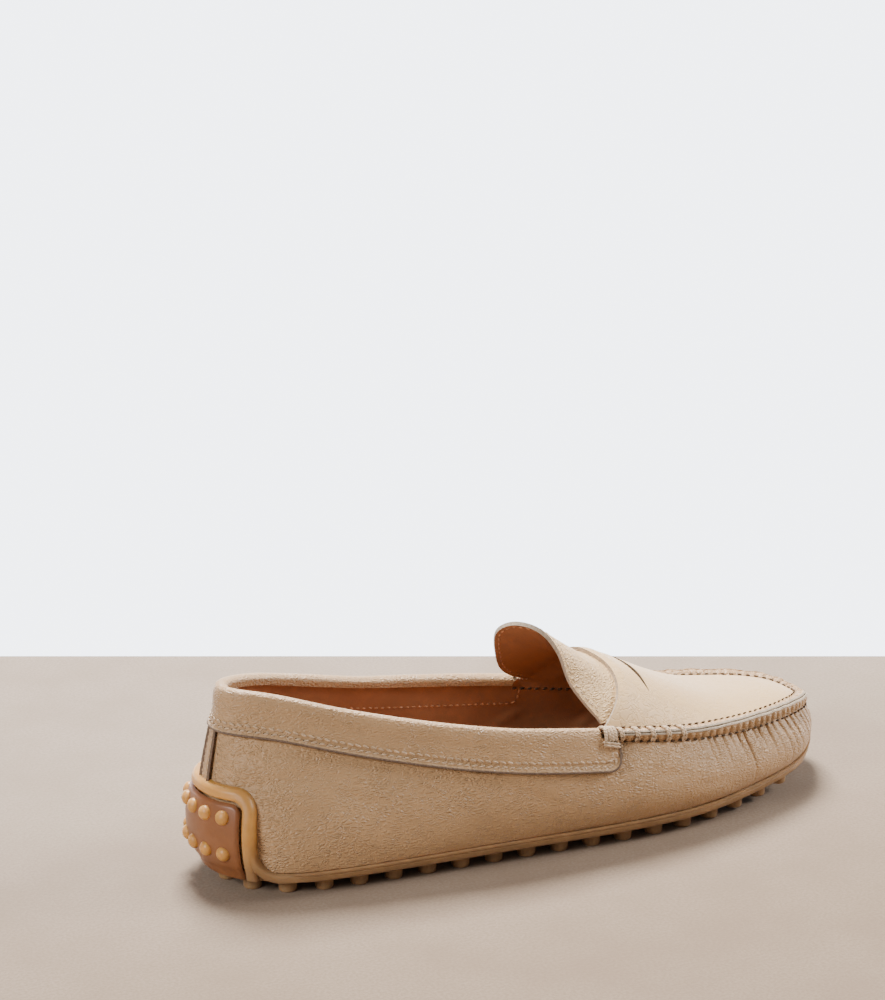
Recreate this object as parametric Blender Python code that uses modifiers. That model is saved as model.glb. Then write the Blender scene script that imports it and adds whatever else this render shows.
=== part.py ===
"""Driving moccasin, right shoe: a leather slip-on on a thin studded rubber sole.

The upper is lofted from a table of sections of its last. The collar, the raised
apron seam, the tongue, the backstay and the heel pad follow the upper's own
surface. +X points to the toe, +Y to the inner (medial) side and +Z up. The
origin is on the floor, under the stud at the centre of the heel.
"""

import math

import bmesh
import bpy
import numpy as np
from mathutils.bvhtree import BVHTree

# Last and outline
LAST_LENGTH = 0.243  # along the leather's lower edge, heel back to toe tip
HEEL_WIDTH = 0.058  # between the two lower edges at the heel
BALL_WIDTH = 0.0745  # between the two lower edges at the ball
HEEL_CENTRE = 0.032  # from the heel back to the origin
HEEL_HEIGHT = 0.0695  # floor to the collar's top at the back
THROAT_HEIGHT = 0.0485  # floor to the collar's top behind the throat
SEAM_HEIGHT = 0.0350  # floor to the seam's top at the ball
INSTEP_CROWN = 0.0204  # rise of the apron over the top line at the instep

# Leather
WALL = 0.0016
COLLAR_LEATHER = 0.0009
TONGUE_LEATHER = 0.0015
BACKSTAY_LEATHER = 0.0010
INSOLE_THICKNESS = 0.0022
COLLAR_BAND_HEEL = 0.0150  # height of the collar's outer leg at the back
COLLAR_BAND_FRONT = 0.0154
COLLAR_CORNER = 0.0055  # radius of the band's lower front corner
COLLAR_TAB = 0.0058  # how far the outer leg runs past the throat
COLLAR_TAB_DEPTH = 0.0056  # top line to the upper edge of that tab
COLLAR_TURN_IN = 0.0032  # how far the collar's inner leg hangs down
CREST_RISE = 0.0022  # top line of collar and seam over the shell's own edge
SEAM_INNER = 0.0036  # from the bend the seam sits on to its edge on the apron
SEAM_OUTER = 0.0025  # from the bend to its edge on the wall
SEAM_RISE = 0.0022  # seam over the bend
BACKSTAY_WIDTH = 0.0075
TONGUE_REACH = 0.0340  # strap edge to the tongue's rim, along the shoe
TONGUE_RISE = 0.0180  # the tongue's rim over the strap edge
TONGUE_UNDERLAP = 0.0120  # tongue's length under the strap
SLIT_SETBACK = 0.0115  # strap's rear edge to the middle of the slit
SLIT_LENGTH = 0.0460
SLIT_WIDTH = 0.0018

# Rubber
STUD_HEIGHT = 0.0048
STUD_RADIUS = 0.0035
STUD_TAPER = 0.0004  # the foot of a stud is narrower by this radius
STUD_PITCH = 0.0125
STUD_INSET = 0.0065  # leather's lower edge to the centres of the outer studs
BASE_THICKNESS = 0.0037
RIM = 0.0010  # rubber beyond the leather's lower edge
HEEL_RIM = 0.0002  # the same round the back of the heel, behind the pad
BASE_UNDERCUT = 0.0008  # top of the rubber's edge to its underside, inwards
HEEL_UNDERCUT = 0.0016
TOE_SPRING = 0.0070
SPRING_START = 0.66  # share of the length where the sole starts to rise
ARCH_LIFT = 0.0008
FRAME_WIDTH = 0.0042
FRAME_THICKNESS = 0.0032
FRAME_FLARE = 0.0045  # how much further forward each side bar reaches at its foot
FRAME_TOP = 0.0357  # floor to the middle of the heel frame's top bar
FRAME_HALF_SPAN = 0.0206  # heel centre to the middle of a side bar, round the heel
FRAME_CORNER = 0.0055
PAD_THICKNESS = 0.0026
PAD_FOOT = 0.0056  # floor to the pad's lower edge
HEEL_BULGE = 0.0018  # how much prouder frame and pad are at their middle height
PAD_STUD_RADIUS = 0.0026
PAD_STUD_RISE = 0.0017
PAD_STUD_PITCH = 0.0064
PAD_STUD_ROWS = (0.0283, 0.0155)  # heights of the two rows over the floor
PAD_STUDS_PER_ROW = 5

GAP = 0.0003
UP = np.array([0.0, 0.0, 1.0])

# How fine the facets are
STEPS_PER_ROW = 4
WALL_STEPS = 6
APRON_STEPS = 10

# Sections of the last, heel to toe. along and top_along are shares of LAST_LENGTH;
# the four widths are shares of the row's width, and top is a share of its height;
# swell and shoulder push the wall outwards low down and high up, in millimetres;
# crown is a share of INSTEP_CROWN; drop lowers the medial top line, in millimetres.
WALL_ROWS = (
    # along, width, foot_lateral, foot_medial, top_along, top_lateral, top_medial,
    # height, top, swell, shoulder, crown, drop
    (0.000, HEEL_WIDTH, 0.000, 0.000, 0.024, 0.000, 0.000, HEEL_HEIGHT, 1.000, 4.8, 3.2, 0.00, 0.0),
    (0.013, HEEL_WIDTH, 0.205, 0.200, 0.038, 0.110, 0.110, HEEL_HEIGHT, 0.998, 5.0, 3.8, 0.00, 0.0),
    (0.060, HEEL_WIDTH, 0.405, 0.385, 0.087, 0.215, 0.205, HEEL_HEIGHT, 0.970, 5.0, 4.1, 0.00, 0.0),
    (0.139, HEEL_WIDTH, 0.510, 0.485, 0.156, 0.325, 0.305, HEEL_HEIGHT, 0.902, 5.2, 3.5, 0.00, 0.0),
    (0.273, HEEL_WIDTH, 0.565, 0.500, 0.279, 0.455, 0.405, THROAT_HEIGHT, 1.135, 5.9, 3.8, 0.00, 0.0),
    (0.421, HEEL_WIDTH, 0.608, 0.500, 0.423, 0.570, 0.480, THROAT_HEIGHT, 1.000, 6.8, 4.5, 0.85, 0.0),
    (0.576, BALL_WIDTH, 0.510, 0.440, 0.574, 0.450, 0.390, SEAM_HEIGHT, 1.220, 7.9, 5.6, 1.00, 0.6),
    (0.714, BALL_WIDTH, 0.495, 0.505, 0.694, 0.435, 0.390, SEAM_HEIGHT, 1.075, 8.0, 5.8, 0.60, 1.3),
    (0.833, BALL_WIDTH, 0.405, 0.505, 0.806, 0.365, 0.370, SEAM_HEIGHT, 1.000, 6.8, 5.4, 0.19, 1.6),
    (0.924, BALL_WIDTH, 0.285, 0.430, 0.893, 0.252, 0.302, SEAM_HEIGHT, 0.950, 5.4, 4.6, 0.11, 1.3),
    (0.979, BALL_WIDTH, 0.085, 0.285, 0.953, 0.108, 0.188, SEAM_HEIGHT, 0.885, 3.4, 3.4, 0.04, 0.6),
    (1.000, BALL_WIDTH, -0.085, 0.085, 0.971, -0.050, 0.050, SEAM_HEIGHT, 0.825, 2.8, 2.8, 0.00, 0.0),
)
# Tongue's rim from its lateral to its medial corner. back and rise are shares of
# TONGUE_REACH and TONGUE_RISE, both from the strap's rear edge.
TONGUE_RIM = (
    # across, back, rise
    (-1.00, 0.06, 0.00),
    (-0.88, 0.30, 0.08),
    (-0.72, 0.53, 0.29),
    (-0.52, 0.64, 0.72),
    (-0.26, 0.75, 0.96),
    (0.00, 0.91, 1.00),
    (0.28, 1.00, 0.73),
    (0.52, 0.88, 0.28),
    (0.72, 0.68, 0.02),
    (0.88, 0.38, -0.04),
    (1.00, 0.06, 0.00),
)
TONGUE_SPAN = 0.93  # the tongue's width under the strap as a share of the apron's
TOE = len(WALL_ROWS) - 1  # row number of the toe tip; the heel back is row 0
ROUND = 2 * TOE  # rows once round, down the lateral side and back up the medial side
THROAT = 5.80  # row where the collar ends and the apron starts
COLLAR_END = THROAT - 0.03
STRAP_SETBACK = 0.45  # rows from the throat's corners to the strap's rear edge
STRAP_SKEW = 0.06  # how many rows further forward its lateral side lies
APRON_POWER = 2.64  # how square the apron's arch is
TIP_SLOPE = 0.004  # length over which the apron falls to its edge at the toe tip
CONTROL_SHARE = 0.35  # how far along a section its two control points sit
MM = 0.001


def ring_spline(values):
    """A smooth closed curve through one value per row, as a function of the row number."""
    count = len(values)
    values = np.array(values, float)
    system = 4 * np.eye(count) + np.roll(np.eye(count), 1, axis=1) + np.roll(np.eye(count), -1, axis=1)
    slopes = np.linalg.solve(system, 3 * (np.roll(values, -1) - np.roll(values, 1)))

    def at(row):
        row = np.mod(np.asarray(row, float), count)
        low = np.floor(row).astype(int) % count
        high = (low + 1) % count
        part = row - np.floor(row)
        return (
            values[low] * (2 * part**3 - 3 * part**2 + 1)
            + values[high] * (3 * part**2 - 2 * part**3)
            + slopes[low] * (part**3 - 2 * part**2 + part)
            + slopes[high] * (part**3 - part**2)
        )

    return at


def ring_column(value_of_row, lateral_sign=1.0, medial_of_row=None):
    """The spline of one table column, taken down the lateral side and back up the medial one."""
    lateral = [lateral_sign * value_of_row(row) for row in WALL_ROWS]
    medial = [(medial_of_row or value_of_row)(row) for row in WALL_ROWS]
    return ring_spline(lateral + medial[-2:0:-1])


FOOT_X = ring_column(lambda row: row[0] * LAST_LENGTH - HEEL_CENTRE)
FOOT_Y = ring_column(lambda row: row[1] * row[2], -1.0, lambda row: row[1] * row[3])
TOP_X = ring_column(lambda row: row[4] * LAST_LENGTH - HEEL_CENTRE)
TOP_Y = ring_column(lambda row: row[1] * row[5], -1.0, lambda row: row[1] * row[6])
TOP_Z = ring_column(lambda row: row[7] * row[8], 1.0, lambda row: row[7] * row[8] - row[12] * MM)
SWELL = ring_column(lambda row: row[9] * MM)
SHOULDER = ring_column(lambda row: row[10] * MM)
CROWN = ring_column(lambda row: row[11] * INSTEP_CROWN)


def smooth_step(value, low, high):
    """0 below low, 1 above high, and a smooth rise between them."""
    part = np.clip((np.asarray(value, float) - low) / (high - low), 0.0, 1.0)
    return part * part * (3 - 2 * part)


def unit(vectors):
    return vectors / np.linalg.norm(vectors, axis=-1, keepdims=True)


def sole_rise(x, y=0.0):
    """Height of the studs' feet: on the floor at heel and forefoot, lifted at the arch and toe."""
    share = (np.asarray(x, float) + HEEL_CENTRE) / LAST_LENGTH
    spring = np.clip((share - SPRING_START) / (1 - SPRING_START), 0.0, None)
    waist = np.sin(math.pi * np.clip((share - 0.27) / 0.30, 0.0, 1.0)) ** 2
    inner = smooth_step(y, -0.4 * HEEL_WIDTH, 0.4 * HEEL_WIDTH)
    return TOE_SPRING * spring**2 + ARCH_LIFT * waist * inner


def rim_top(x, y=0.0):
    """Height of the rubber's upper face, where the leather meets it."""
    return sole_rise(x, y) + STUD_HEIGHT + BASE_THICKNESS


def outward(row):
    """Level unit vector square to the leather's lower edge, pointing out."""
    step = 1e-3
    dx = FOOT_X(row + step) - FOOT_X(row - step)
    dy = FOOT_Y(row + step) - FOOT_Y(row - step)
    return unit(np.stack([dy, -dx, 0 * dx], axis=-1))


def foot(row):
    """The leather's lower edge, a gap above the rubber."""
    x, y = FOOT_X(row), FOOT_Y(row)
    return np.stack([x, y, rim_top(x, y) + GAP], axis=-1)


def top(row):
    """The collar's top line and, in front of the throat, the edge of the apron."""
    return np.stack([TOP_X(row), TOP_Y(row), TOP_Z(row)], axis=-1)


def wall(row, share):
    """The upper's outer face: a cubic curve from its lower edge (0) to its top line (1)."""
    row, share = np.broadcast_arrays(np.asarray(row, float), np.asarray(share, float))
    low, high, out = foot(row), top(row), outward(row)
    rise = CONTROL_SHARE * (high - low)[..., 2:] * UP
    share = share[..., None]
    low_control = low + out * SWELL(row)[..., None] + rise
    high_control = high + out * SHOULDER(row)[..., None] - rise
    return (
        low * (1 - share) ** 3
        + 3 * low_control * share * (1 - share) ** 2
        + 3 * high_control * share**2 * (1 - share)
        + high * share**3
    )


def wall_normal(row, share):
    """Unit vector square to the wall, pointing out of the shoe."""
    step = 1e-3
    along = wall(row + step, share) - wall(row - step, share)
    upward = wall(row, share + step) - wall(row, share - step)
    return unit(np.cross(along, upward))


def share_at(row, measure, target):
    """The share of a section where a measure that grows towards its top reaches target."""
    shares = np.linspace(0.0, 1.0, 41)
    return float(np.interp(target, measure(wall(row, shares)), shares))


def share_below_top(row, depth):
    """The share of a section that lies depth below its top, measured along the leather."""

    def minus_depth(points):
        lengths = np.linalg.norm(np.diff(points, axis=0), axis=1)
        return np.concatenate([[0.0], np.cumsum(lengths)]) - lengths.sum()

    return share_at(row, minus_depth, -depth)


def edge(row):
    """The shell's own upper edge, a little below the top line."""
    row = np.asarray(row, float)
    shares = [share_below_top(one, CREST_RISE) for one in row.flat]
    return wall(row, np.reshape(shares, row.shape))


def skin(row, depth, offset):
    """A point depth below the top line, offset out from the wall's outer face."""
    share = share_below_top(row, depth)
    return wall(row, share) + wall_normal(row, share) * offset


def skin_at_height(row, height, offset):
    """A point at a height over the floor, offset level out from the wall's outer face.

    Under the wall's lower edge it goes straight down.
    """
    share = share_at(row, lambda points: points[:, 2], height)
    point = wall(row, share) + outward(row) * offset
    point[2] = height
    return point


def apron(row, across):
    """The apron's outer face, from its lateral edge (across -1) to its medial one (1)."""
    row, across = np.broadcast_arrays(np.asarray(row, float), np.asarray(across, float))
    share = ((1 + across) / 2)[..., None]
    lateral = edge(row)
    points = lateral * (1 - share) + edge(ROUND - row) * share
    behind_tip = np.maximum(TOP_X(TOE) - TOP_X(row), 0.0)
    rise = (CROWN(row) + TOP_Z(row) - lateral[..., 2]) * (1 - np.exp(-behind_tip / TIP_SLOPE))
    points[..., 2] += rise * (1 - np.abs(across) ** APRON_POWER)
    return points


def apron_normal(row, across):
    step = 1e-3
    along = apron(row + step, across) - apron(row - step, across)
    sideways = apron(row, across + step) - apron(row, across - step)
    return unit(np.cross(along, sideways))


def strap_row(row, across):
    """Moves an apron row forwards near the throat, where the strap's rear edge is hollow."""
    fade = (TOE - row) / (TOE - THROAT)
    return row + (STRAP_SETBACK - STRAP_SKEW * across) * (1 - np.abs(across) ** 4) * fade**2


def new_object(name, mesh, collection, material=None):
    obj = bpy.data.objects.new(name, mesh)
    collection.objects.link(obj)
    if material:
        mesh.materials.append(material)
    return obj


def mesh_from(name, points, faces):
    """A mesh with doubles merged and faces pointing out."""
    mesh = bpy.data.meshes.new(name)
    mesh.from_pydata([tuple(map(float, p)) for p in points], [], faces)
    cage = bmesh.new()
    cage.from_mesh(mesh)
    bmesh.ops.remove_doubles(cage, verts=cage.verts, dist=1e-6)
    bmesh.ops.recalc_face_normals(cage, faces=cage.faces)
    if cage.calc_volume(signed=True) < 0:
        bmesh.ops.reverse_faces(cage, faces=cage.faces)
    cage.to_mesh(mesh)
    cage.free()
    return mesh


def loft(name, sections, closed_sections=True, cap=True):
    """Joins a list of like sections, each a list of points, by quads, and caps the two ends."""
    size = len(sections[0])
    points = [point for section in sections for point in section]
    faces = []
    for i in range(len(sections) - 1):
        for j in range(size if closed_sections else size - 1):
            k = (j + 1) % size
            faces.append((i * size + j, i * size + k, (i + 1) * size + k, (i + 1) * size + j))
    if cap:
        last = (len(sections) - 1) * size
        faces.append(tuple(reversed(range(size))))
        faces.append(tuple(range(last, last + size)))
    return mesh_from(name, points, faces)


def solidify(obj, thickness):
    """Thickens an open surface inwards."""
    shell = obj.modifiers.new("Leather", "SOLIDIFY")
    shell.thickness = thickness
    shell.offset = -1.0
    shell.use_even_offset = True


def smooth(obj, degrees=40.0):
    for polygon in obj.data.polygons:
        polygon.use_smooth = True
    obj.data.set_sharp_from_angle(angle=math.radians(degrees))


def boolean(obj, cutter, operation):
    change = obj.modifiers.new(operation.title(), "BOOLEAN")
    change.operation = operation
    change.object = cutter
    change.solver = "EXACT"
    cutter.hide_render = True
    cutter.display_type = "WIRE"


def ring_rows(low, high):
    """Row numbers from low to high at the facets' spacing, both ends kept."""
    inner = np.arange(math.ceil(low * STEPS_PER_ROW), math.floor(high * STEPS_PER_ROW) + 1) / STEPS_PER_ROW
    inner = [row for row in inner if low + 0.05 < row < high - 0.05]
    return np.array([low, *inner, high])


def make_upper(collection, cutters, leather):
    """Wall and apron as one hollow shell, open at the collar, the throat and underneath.

    Returns its outer face, for the seam that sits on it.
    """
    lateral = np.unique(np.concatenate([ring_rows(0, THROAT), ring_rows(THROAT, TOE)]))
    rows = np.concatenate([lateral, ROUND - lateral[-2:0:-1]])
    shares = np.linspace(0.0, 1.0, WALL_STEPS + 1)
    columns = []
    for row in rows:
        columns.append(wall(row, shares * share_below_top(row, CREST_RISE)))
    count, height = len(rows), WALL_STEPS + 1
    points = [point for column in columns for point in column]
    faces = [
        (i * height + j, ((i + 1) % count) * height + j, ((i + 1) % count) * height + j + 1, i * height + j + 1)
        for i in range(count)
        for j in range(height - 1)
    ]
    start = len(points)
    apron_rows = lateral[lateral >= THROAT - 1e-9]
    across = np.linspace(-1.0, 1.0, APRON_STEPS + 1)
    for row in apron_rows:
        points.extend(apron(strap_row(row, across), across))
    width = APRON_STEPS + 1
    faces += [
        (start + i * width + j, start + i * width + j + 1, start + (i + 1) * width + j + 1, start + (i + 1) * width + j)
        for i in range(len(apron_rows) - 1)
        for j in range(APRON_STEPS)
    ]
    mesh = bpy.data.meshes.new("upper")
    mesh.from_pydata([tuple(map(float, p)) for p in points], [], faces)
    cage = bmesh.new()
    cage.from_mesh(mesh)
    bmesh.ops.remove_doubles(cage, verts=cage.verts, dist=1e-6)
    bmesh.ops.dissolve_degenerate(cage, edges=cage.edges, dist=1e-6)
    bmesh.ops.recalc_face_normals(cage, faces=cage.faces)
    if max(cage.faces, key=lambda face: face.calc_center_median().z).normal.z < 0:
        bmesh.ops.reverse_faces(cage, faces=cage.faces)
    cage.to_mesh(mesh)
    cage.free()
    upper = new_object("upper", mesh, collection, leather)
    shell = BVHTree.FromPolygons([v.co for v in mesh.vertices], [tuple(f.vertices) for f in mesh.polygons])
    solidify(upper, WALL)
    boolean(upper, make_slit(cutters), "DIFFERENCE")
    smooth(upper)
    return shell


def strap_edge_x():
    """Where the middle of the strap's rear edge lies along the shoe."""
    return float(apron(strap_row(THROAT, 0.0), 0.0)[0])


def make_slit(cutters):
    """Crescent cutter for the slit across the strap."""
    middle = strap_edge_x() + SLIT_SETBACK
    across = np.linspace(-0.5, 0.5, 13) * SLIT_LENGTH
    crescent = [(middle - 0.5 * SLIT_WIDTH * (1 - (2 * y / SLIT_LENGTH) ** 2), y) for y in across]
    crescent += [(middle + 0.5 * SLIT_WIDTH * (1 - (2 * y / SLIT_LENGTH) ** 2), y) for y in across[-2:0:-1]]
    low, high = SEAM_HEIGHT, SEAM_HEIGHT + 2 * INSTEP_CROWN
    sections = [[(x, y, z) for x, y in crescent] for z in (low, high)]
    return new_object("slit_cutter", loft("slit_cutter", sections), cutters)


def row_ahead(row, distance):
    """The row that lies a distance further along the top line."""
    rows = np.linspace(row, row + 1.0, 201)
    lengths = np.concatenate([[0.0], np.cumsum(np.linalg.norm(np.diff(top(rows), axis=0), axis=1))])
    return float(np.interp(distance, lengths, rows))


TAB_END = row_ahead(THROAT, COLLAR_TAB)


def collar_band(row):
    """Height of the collar's outer leg, rounded off at its two front corners."""
    height = COLLAR_BAND_HEEL + (COLLAR_BAND_FRONT - COLLAR_BAND_HEEL) * abs(row) / THROAT
    end = np.linalg.norm(top(TAB_END) - top(abs(row)))
    if end < COLLAR_CORNER:
        height -= COLLAR_CORNER - math.sqrt(COLLAR_CORNER**2 - (COLLAR_CORNER - end) ** 2)
    return height


def collar_section(row):
    """The collar's closed outline: outer leg, roll over the top, inner leg and its inside."""
    band = collar_band(row)
    outer, inner = GAP + COLLAR_LEATHER, -WALL - GAP - COLLAR_LEATHER
    centre, half = (outer + inner) / 2, (outer - inner) / 2
    ceiling = CREST_RISE - GAP
    middle = (band + COLLAR_TAB_DEPTH) / 2
    outline = [(middle, GAP), (band, GAP), (band, outer), (middle, outer), (COLLAR_TAB_DEPTH, outer)]
    for angle in np.linspace(0.0, math.pi, 4):
        outline.append((0.75 * half * (1 - math.sin(angle)), centre + half * math.cos(angle)))
    outline += [
        (COLLAR_TURN_IN, inner),
        (COLLAR_TURN_IN, inner + COLLAR_LEATHER),
        (ceiling, inner + COLLAR_LEATHER),
        (ceiling, GAP),
        (COLLAR_TAB_DEPTH, GAP),
    ]
    return [skin(row, depth, offset) for depth, offset in outline]


def tab_section(row):
    """The outline of the collar's front tab, which is the lower part of its outer leg."""
    band = collar_band(row)
    middle = (band + COLLAR_TAB_DEPTH) / 2
    outer = GAP + COLLAR_LEATHER
    depths = (middle, band, band, middle, COLLAR_TAB_DEPTH, COLLAR_TAB_DEPTH)
    offsets = (GAP, GAP, outer, outer, outer, GAP)
    return [skin(row, depth, offset) for depth, offset in zip(depths, offsets)]


def make_collar(collection, leather):
    """Leather band round the top line, folded over it, with a tab past each throat corner."""
    rows = ring_rows(-COLLAR_END, COLLAR_END)
    sections = [collar_section(row) for row in rows]
    size = len(sections[0])
    points = [point for section in sections for point in section]
    faces = [
        (i * size + j, i * size + (j + 1) % size, (i + 1) * size + (j + 1) % size, (i + 1) * size + j)
        for i in range(len(rows) - 1)
        for j in range(size)
    ]
    last = (len(rows) - 1) * size
    faces += [tuple(range(4, size)), tuple(range(last + 4, last + size))]
    for side in (-1, 1):
        tab = [tab_section(side * row) for row in np.linspace(COLLAR_END, TAB_END - 0.0001 / LAST_LENGTH, 7)]
        start = len(points)
        points += [point for section in tab for point in section]
        faces += [
            (start + i * 6 + j, start + i * 6 + (j + 1) % 6, start + (i + 1) * 6 + (j + 1) % 6, start + (i + 1) * 6 + j)
            for i in range(len(tab) - 1)
            for j in range(6)
        ]
        end = start + 6 * (len(tab) - 1)
        faces.append(tuple(range(end, end + 6)))
    collar = new_object("collar", mesh_from("collar", points, faces), collection, leather)
    smooth(collar)
    return collar


def seam_section(row, shell):
    """The raised seam's closed outline, astride the bend between the wall and the apron."""
    step = 1e-3
    middle = edge(row)
    along = unit(edge(row + step) - edge(row - step))
    outside = UP + outward(row)
    spot, normal, _, _ = shell.find_nearest(middle + unit(np.cross(UP, along)) * SEAM_INNER)
    normal = np.array(normal) * math.copysign(1.0, np.dot(normal, outside))
    inner_foot = np.array(spot) + normal * 1.7 * GAP
    chord = skin(row, CREST_RISE + SEAM_OUTER, 1.7 * GAP) - inner_foot
    rise = unit(np.cross(chord, along))
    rise = rise * math.copysign(1.0, np.dot(rise, outside))
    height = max(float(np.dot(middle - inner_foot, rise)), 0.0) + SEAM_RISE
    profile = ((0.0, 0.0), (0.08, 0.62), (0.32, 1.0), (0.66, 1.0), (0.92, 0.6), (1.0, 0.0))
    outline = [inner_foot + chord * share + rise * height * part for share, part in profile]
    return outline + [middle + rise * 2 * GAP]


def make_apron_seam(collection, leather, shell):
    """Raised hand-sewn seam, from one end of the collar round the toe to the other."""
    rows = ring_rows(THROAT + 0.02, ROUND - THROAT - 0.02)
    mesh = loft("apron_seam", [seam_section(row, shell) for row in rows])
    seam = new_object("apron_seam", mesh, collection, leather)
    smooth(seam, 60.0)


def through(knots, values, at):
    """A smooth curve through a few values, read at one place."""
    slopes = np.gradient(values, knots)
    k = int(np.clip(np.searchsorted(knots, at) - 1, 0, len(knots) - 2))
    span = knots[k + 1] - knots[k]
    part = (at - knots[k]) / span
    return (
        values[k] * (2 * part**3 - 3 * part**2 + 1)
        + values[k + 1] * (3 * part**2 - 2 * part**3)
        + span * slopes[k] * (part**3 - 2 * part**2 + part)
        + span * slopes[k + 1] * (part**3 - part**2)
    )


def tongue_point(across, length):
    """The tongue's outer face: under the strap at length -1, its rear edge 0, the rim at 1."""
    inner_across = TONGUE_SPAN * across
    overlap = TONGUE_UNDERLAP / (LAST_LENGTH * 0.15)
    row = strap_row(THROAT, inner_across) + 0.02 + overlap * max(0.0, -length)
    start = apron(row, inner_across) - apron_normal(row, inner_across) * (WALL + 2 * GAP)
    if length <= 0:
        return start
    knots, backs, rises = np.array(TONGUE_RIM).T
    back = TONGUE_REACH * through(knots, backs, across)
    rise = TONGUE_RISE * through(knots, rises, across)
    return start + np.array([-back * length, 0.0, rise * length**1.1])


def make_tongue(collection, leather):
    """Tongue that starts under the strap and stands up behind it."""
    across = np.linspace(-1.0, 1.0, 15)
    lengths = (-1.0, -0.5, 0.0, 0.25, 0.5, 0.75, 1.0)
    sections = [[tongue_point(a, length) for a in across] for length in lengths]
    mesh = loft("tongue", sections, closed_sections=False, cap=False)
    if max(mesh.polygons, key=lambda face: face.center.z).normal.z < 0:
        mesh.flip_normals()
    tongue = new_object("tongue", mesh, collection, leather)
    solidify(tongue, TONGUE_LEATHER)
    smooth(tongue)
    return tongue


def heel_row(distance):
    """The row that lies a distance round the heel from its back, negative on the medial side."""
    rows = np.linspace(0.0, 4.0, 161)
    points = wall(rows, 0.4)
    lengths = np.concatenate([[0.0], np.cumsum(np.linalg.norm(np.diff(points, axis=0), axis=1))])
    return math.copysign(float(np.interp(abs(distance), lengths, rows)), distance)


def make_backstay(collection, leather):
    """Strip over the heel seam, from the collar down into the heel frame."""
    base = GAP
    face = GAP + BACKSTAY_LEATHER
    distances = (-0.5, -0.3, 0.0, 0.3, 0.5)
    low = FRAME_TOP + FRAME_WIDTH / 2 + GAP
    high_depth = COLLAR_BAND_HEEL + GAP
    high = float(skin(0.0, high_depth, 0.0)[2])
    sections = []
    for height in np.linspace(low, high, 6):
        rows = [heel_row(d * BACKSTAY_WIDTH) for d in distances]
        outside = [skin_at_height(row, height, face) for row in rows]
        inside = [skin_at_height(row, height, base) for row in reversed(rows)]
        sections.append(outside + inside)
    backstay = new_object("backstay", loft("backstay", sections), collection, leather)
    smooth(backstay)
    return backstay


def heel_bulge(height):
    """How much prouder the frame and the pad stand at a height over the floor."""
    share = min(max((height - PAD_FOOT) / (FRAME_TOP - PAD_FOOT), 0.0), 1.0)
    return HEEL_BULGE * math.sin(math.pi * share)


def frame_path():
    """Stations of the heel frame, lateral foot first: distance round the heel, height, width."""
    span, crown, corner = FRAME_HALF_SPAN, FRAME_TOP, FRAME_CORNER
    low, high = STUD_HEIGHT + 0.0003, crown - corner
    side = []
    for share in (0.0, 0.12, 0.26, 0.45, 0.7, 1.0):
        flare = FRAME_FLARE * (1 - share) ** 6
        side.append((span + flare / 2, low + (high - low) * share, FRAME_WIDTH + flare))
    bend = [
        (span - corner + corner * math.cos(angle), high + corner * math.sin(angle), FRAME_WIDTH)
        for angle in np.linspace(0, math.pi / 2, 5)[1:]
    ]
    bar = [(distance, crown, FRAME_WIDTH) for distance in np.linspace(span - corner, 0, 5)[1:]]
    half = side + bend + bar
    return half + [(-distance, z, width) for distance, z, width in reversed(half[:-1])]


def frame_section(index, path):
    """The heel frame's closed outline at one station of its path."""
    distance, height, width = path[index]
    before = path[max(index - 1, 0)]
    after = path[min(index + 1, len(path) - 1)]
    heading = np.array([after[0] - before[0], after[1] - before[1]])
    if index in (0, len(path) - 1):
        heading = np.array([0.0, heading[1]])
    heading /= np.linalg.norm(heading)
    sideways = (heading[1], -heading[0])
    outline = (
        (-0.5, 0.0),
        (-0.5, 0.55),
        (-0.3, 1.0),
        (0.3, 1.0),
        (0.5, 0.55),
        (0.5, 0.0),
    )
    points = []
    for side, rise in outline:
        row = heel_row(distance + sideways[0] * side * width)
        point_height = height + sideways[1] * side * width
        proud = rise * (FRAME_THICKNESS + heel_bulge(point_height))
        outer_side = side * sideways[0] * distance > 0
        if outer_side:
            proud *= 1 - 0.6 * (width - FRAME_WIDTH) / FRAME_FLARE
        points.append(skin_at_height(row, point_height, GAP + proud))
    return points


def spine_y(row):
    return (FOOT_Y(row) + FOOT_Y(ROUND - row)) / 2


def edge_offset(row, offset):
    """The leather's lower edge moved outwards by offset, in plan."""
    edge = foot(row)
    moved = edge + outward(row) * offset
    return moved[..., 0], moved[..., 1]


def plate(name, offset, bottom_offset, low, high, across_steps=3):
    """A plate with the sole's outline: low and high give its two faces' heights at x, y."""
    lateral = ring_rows(0, TOE)
    shares = np.linspace(0.0, 1.0, across_steps + 1)
    sections = []
    for row in lateral:
        section = []
        for face_offset, height in ((offset, high), (bottom_offset, low)):
            ends = [np.array(edge_offset(r, face_offset(r))) for r in (row, ROUND - row)]
            line = [ends[0] * (1 - s) + ends[1] * s for s in shares]
            line = [(x, y, float(height(x, y))) for x, y in line]
            section += line if face_offset is offset else list(reversed(line))
        sections.append(section)
    points = [point for section in sections for point in section]
    size = len(sections[0])
    faces = [
        (i * size + j, i * size + (j + 1) % size, (i + 1) * size + (j + 1) % size, (i + 1) * size + j)
        for i in range(len(sections) - 1)
        for j in range(size)
    ]
    mesh = bpy.data.meshes.new(name)
    mesh.from_pydata([tuple(map(float, p)) for p in points], [], faces)
    cage = bmesh.new()
    cage.from_mesh(mesh)
    bmesh.ops.remove_doubles(cage, verts=cage.verts, dist=1e-6)
    bmesh.ops.dissolve_degenerate(cage, edges=cage.edges, dist=1e-6)
    bmesh.ops.holes_fill(cage, edges=[edge for edge in cage.edges if edge.is_boundary], sides=0)
    bmesh.ops.recalc_face_normals(cage, faces=cage.faces)
    cage.to_mesh(mesh)
    cage.free()
    return mesh


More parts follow.
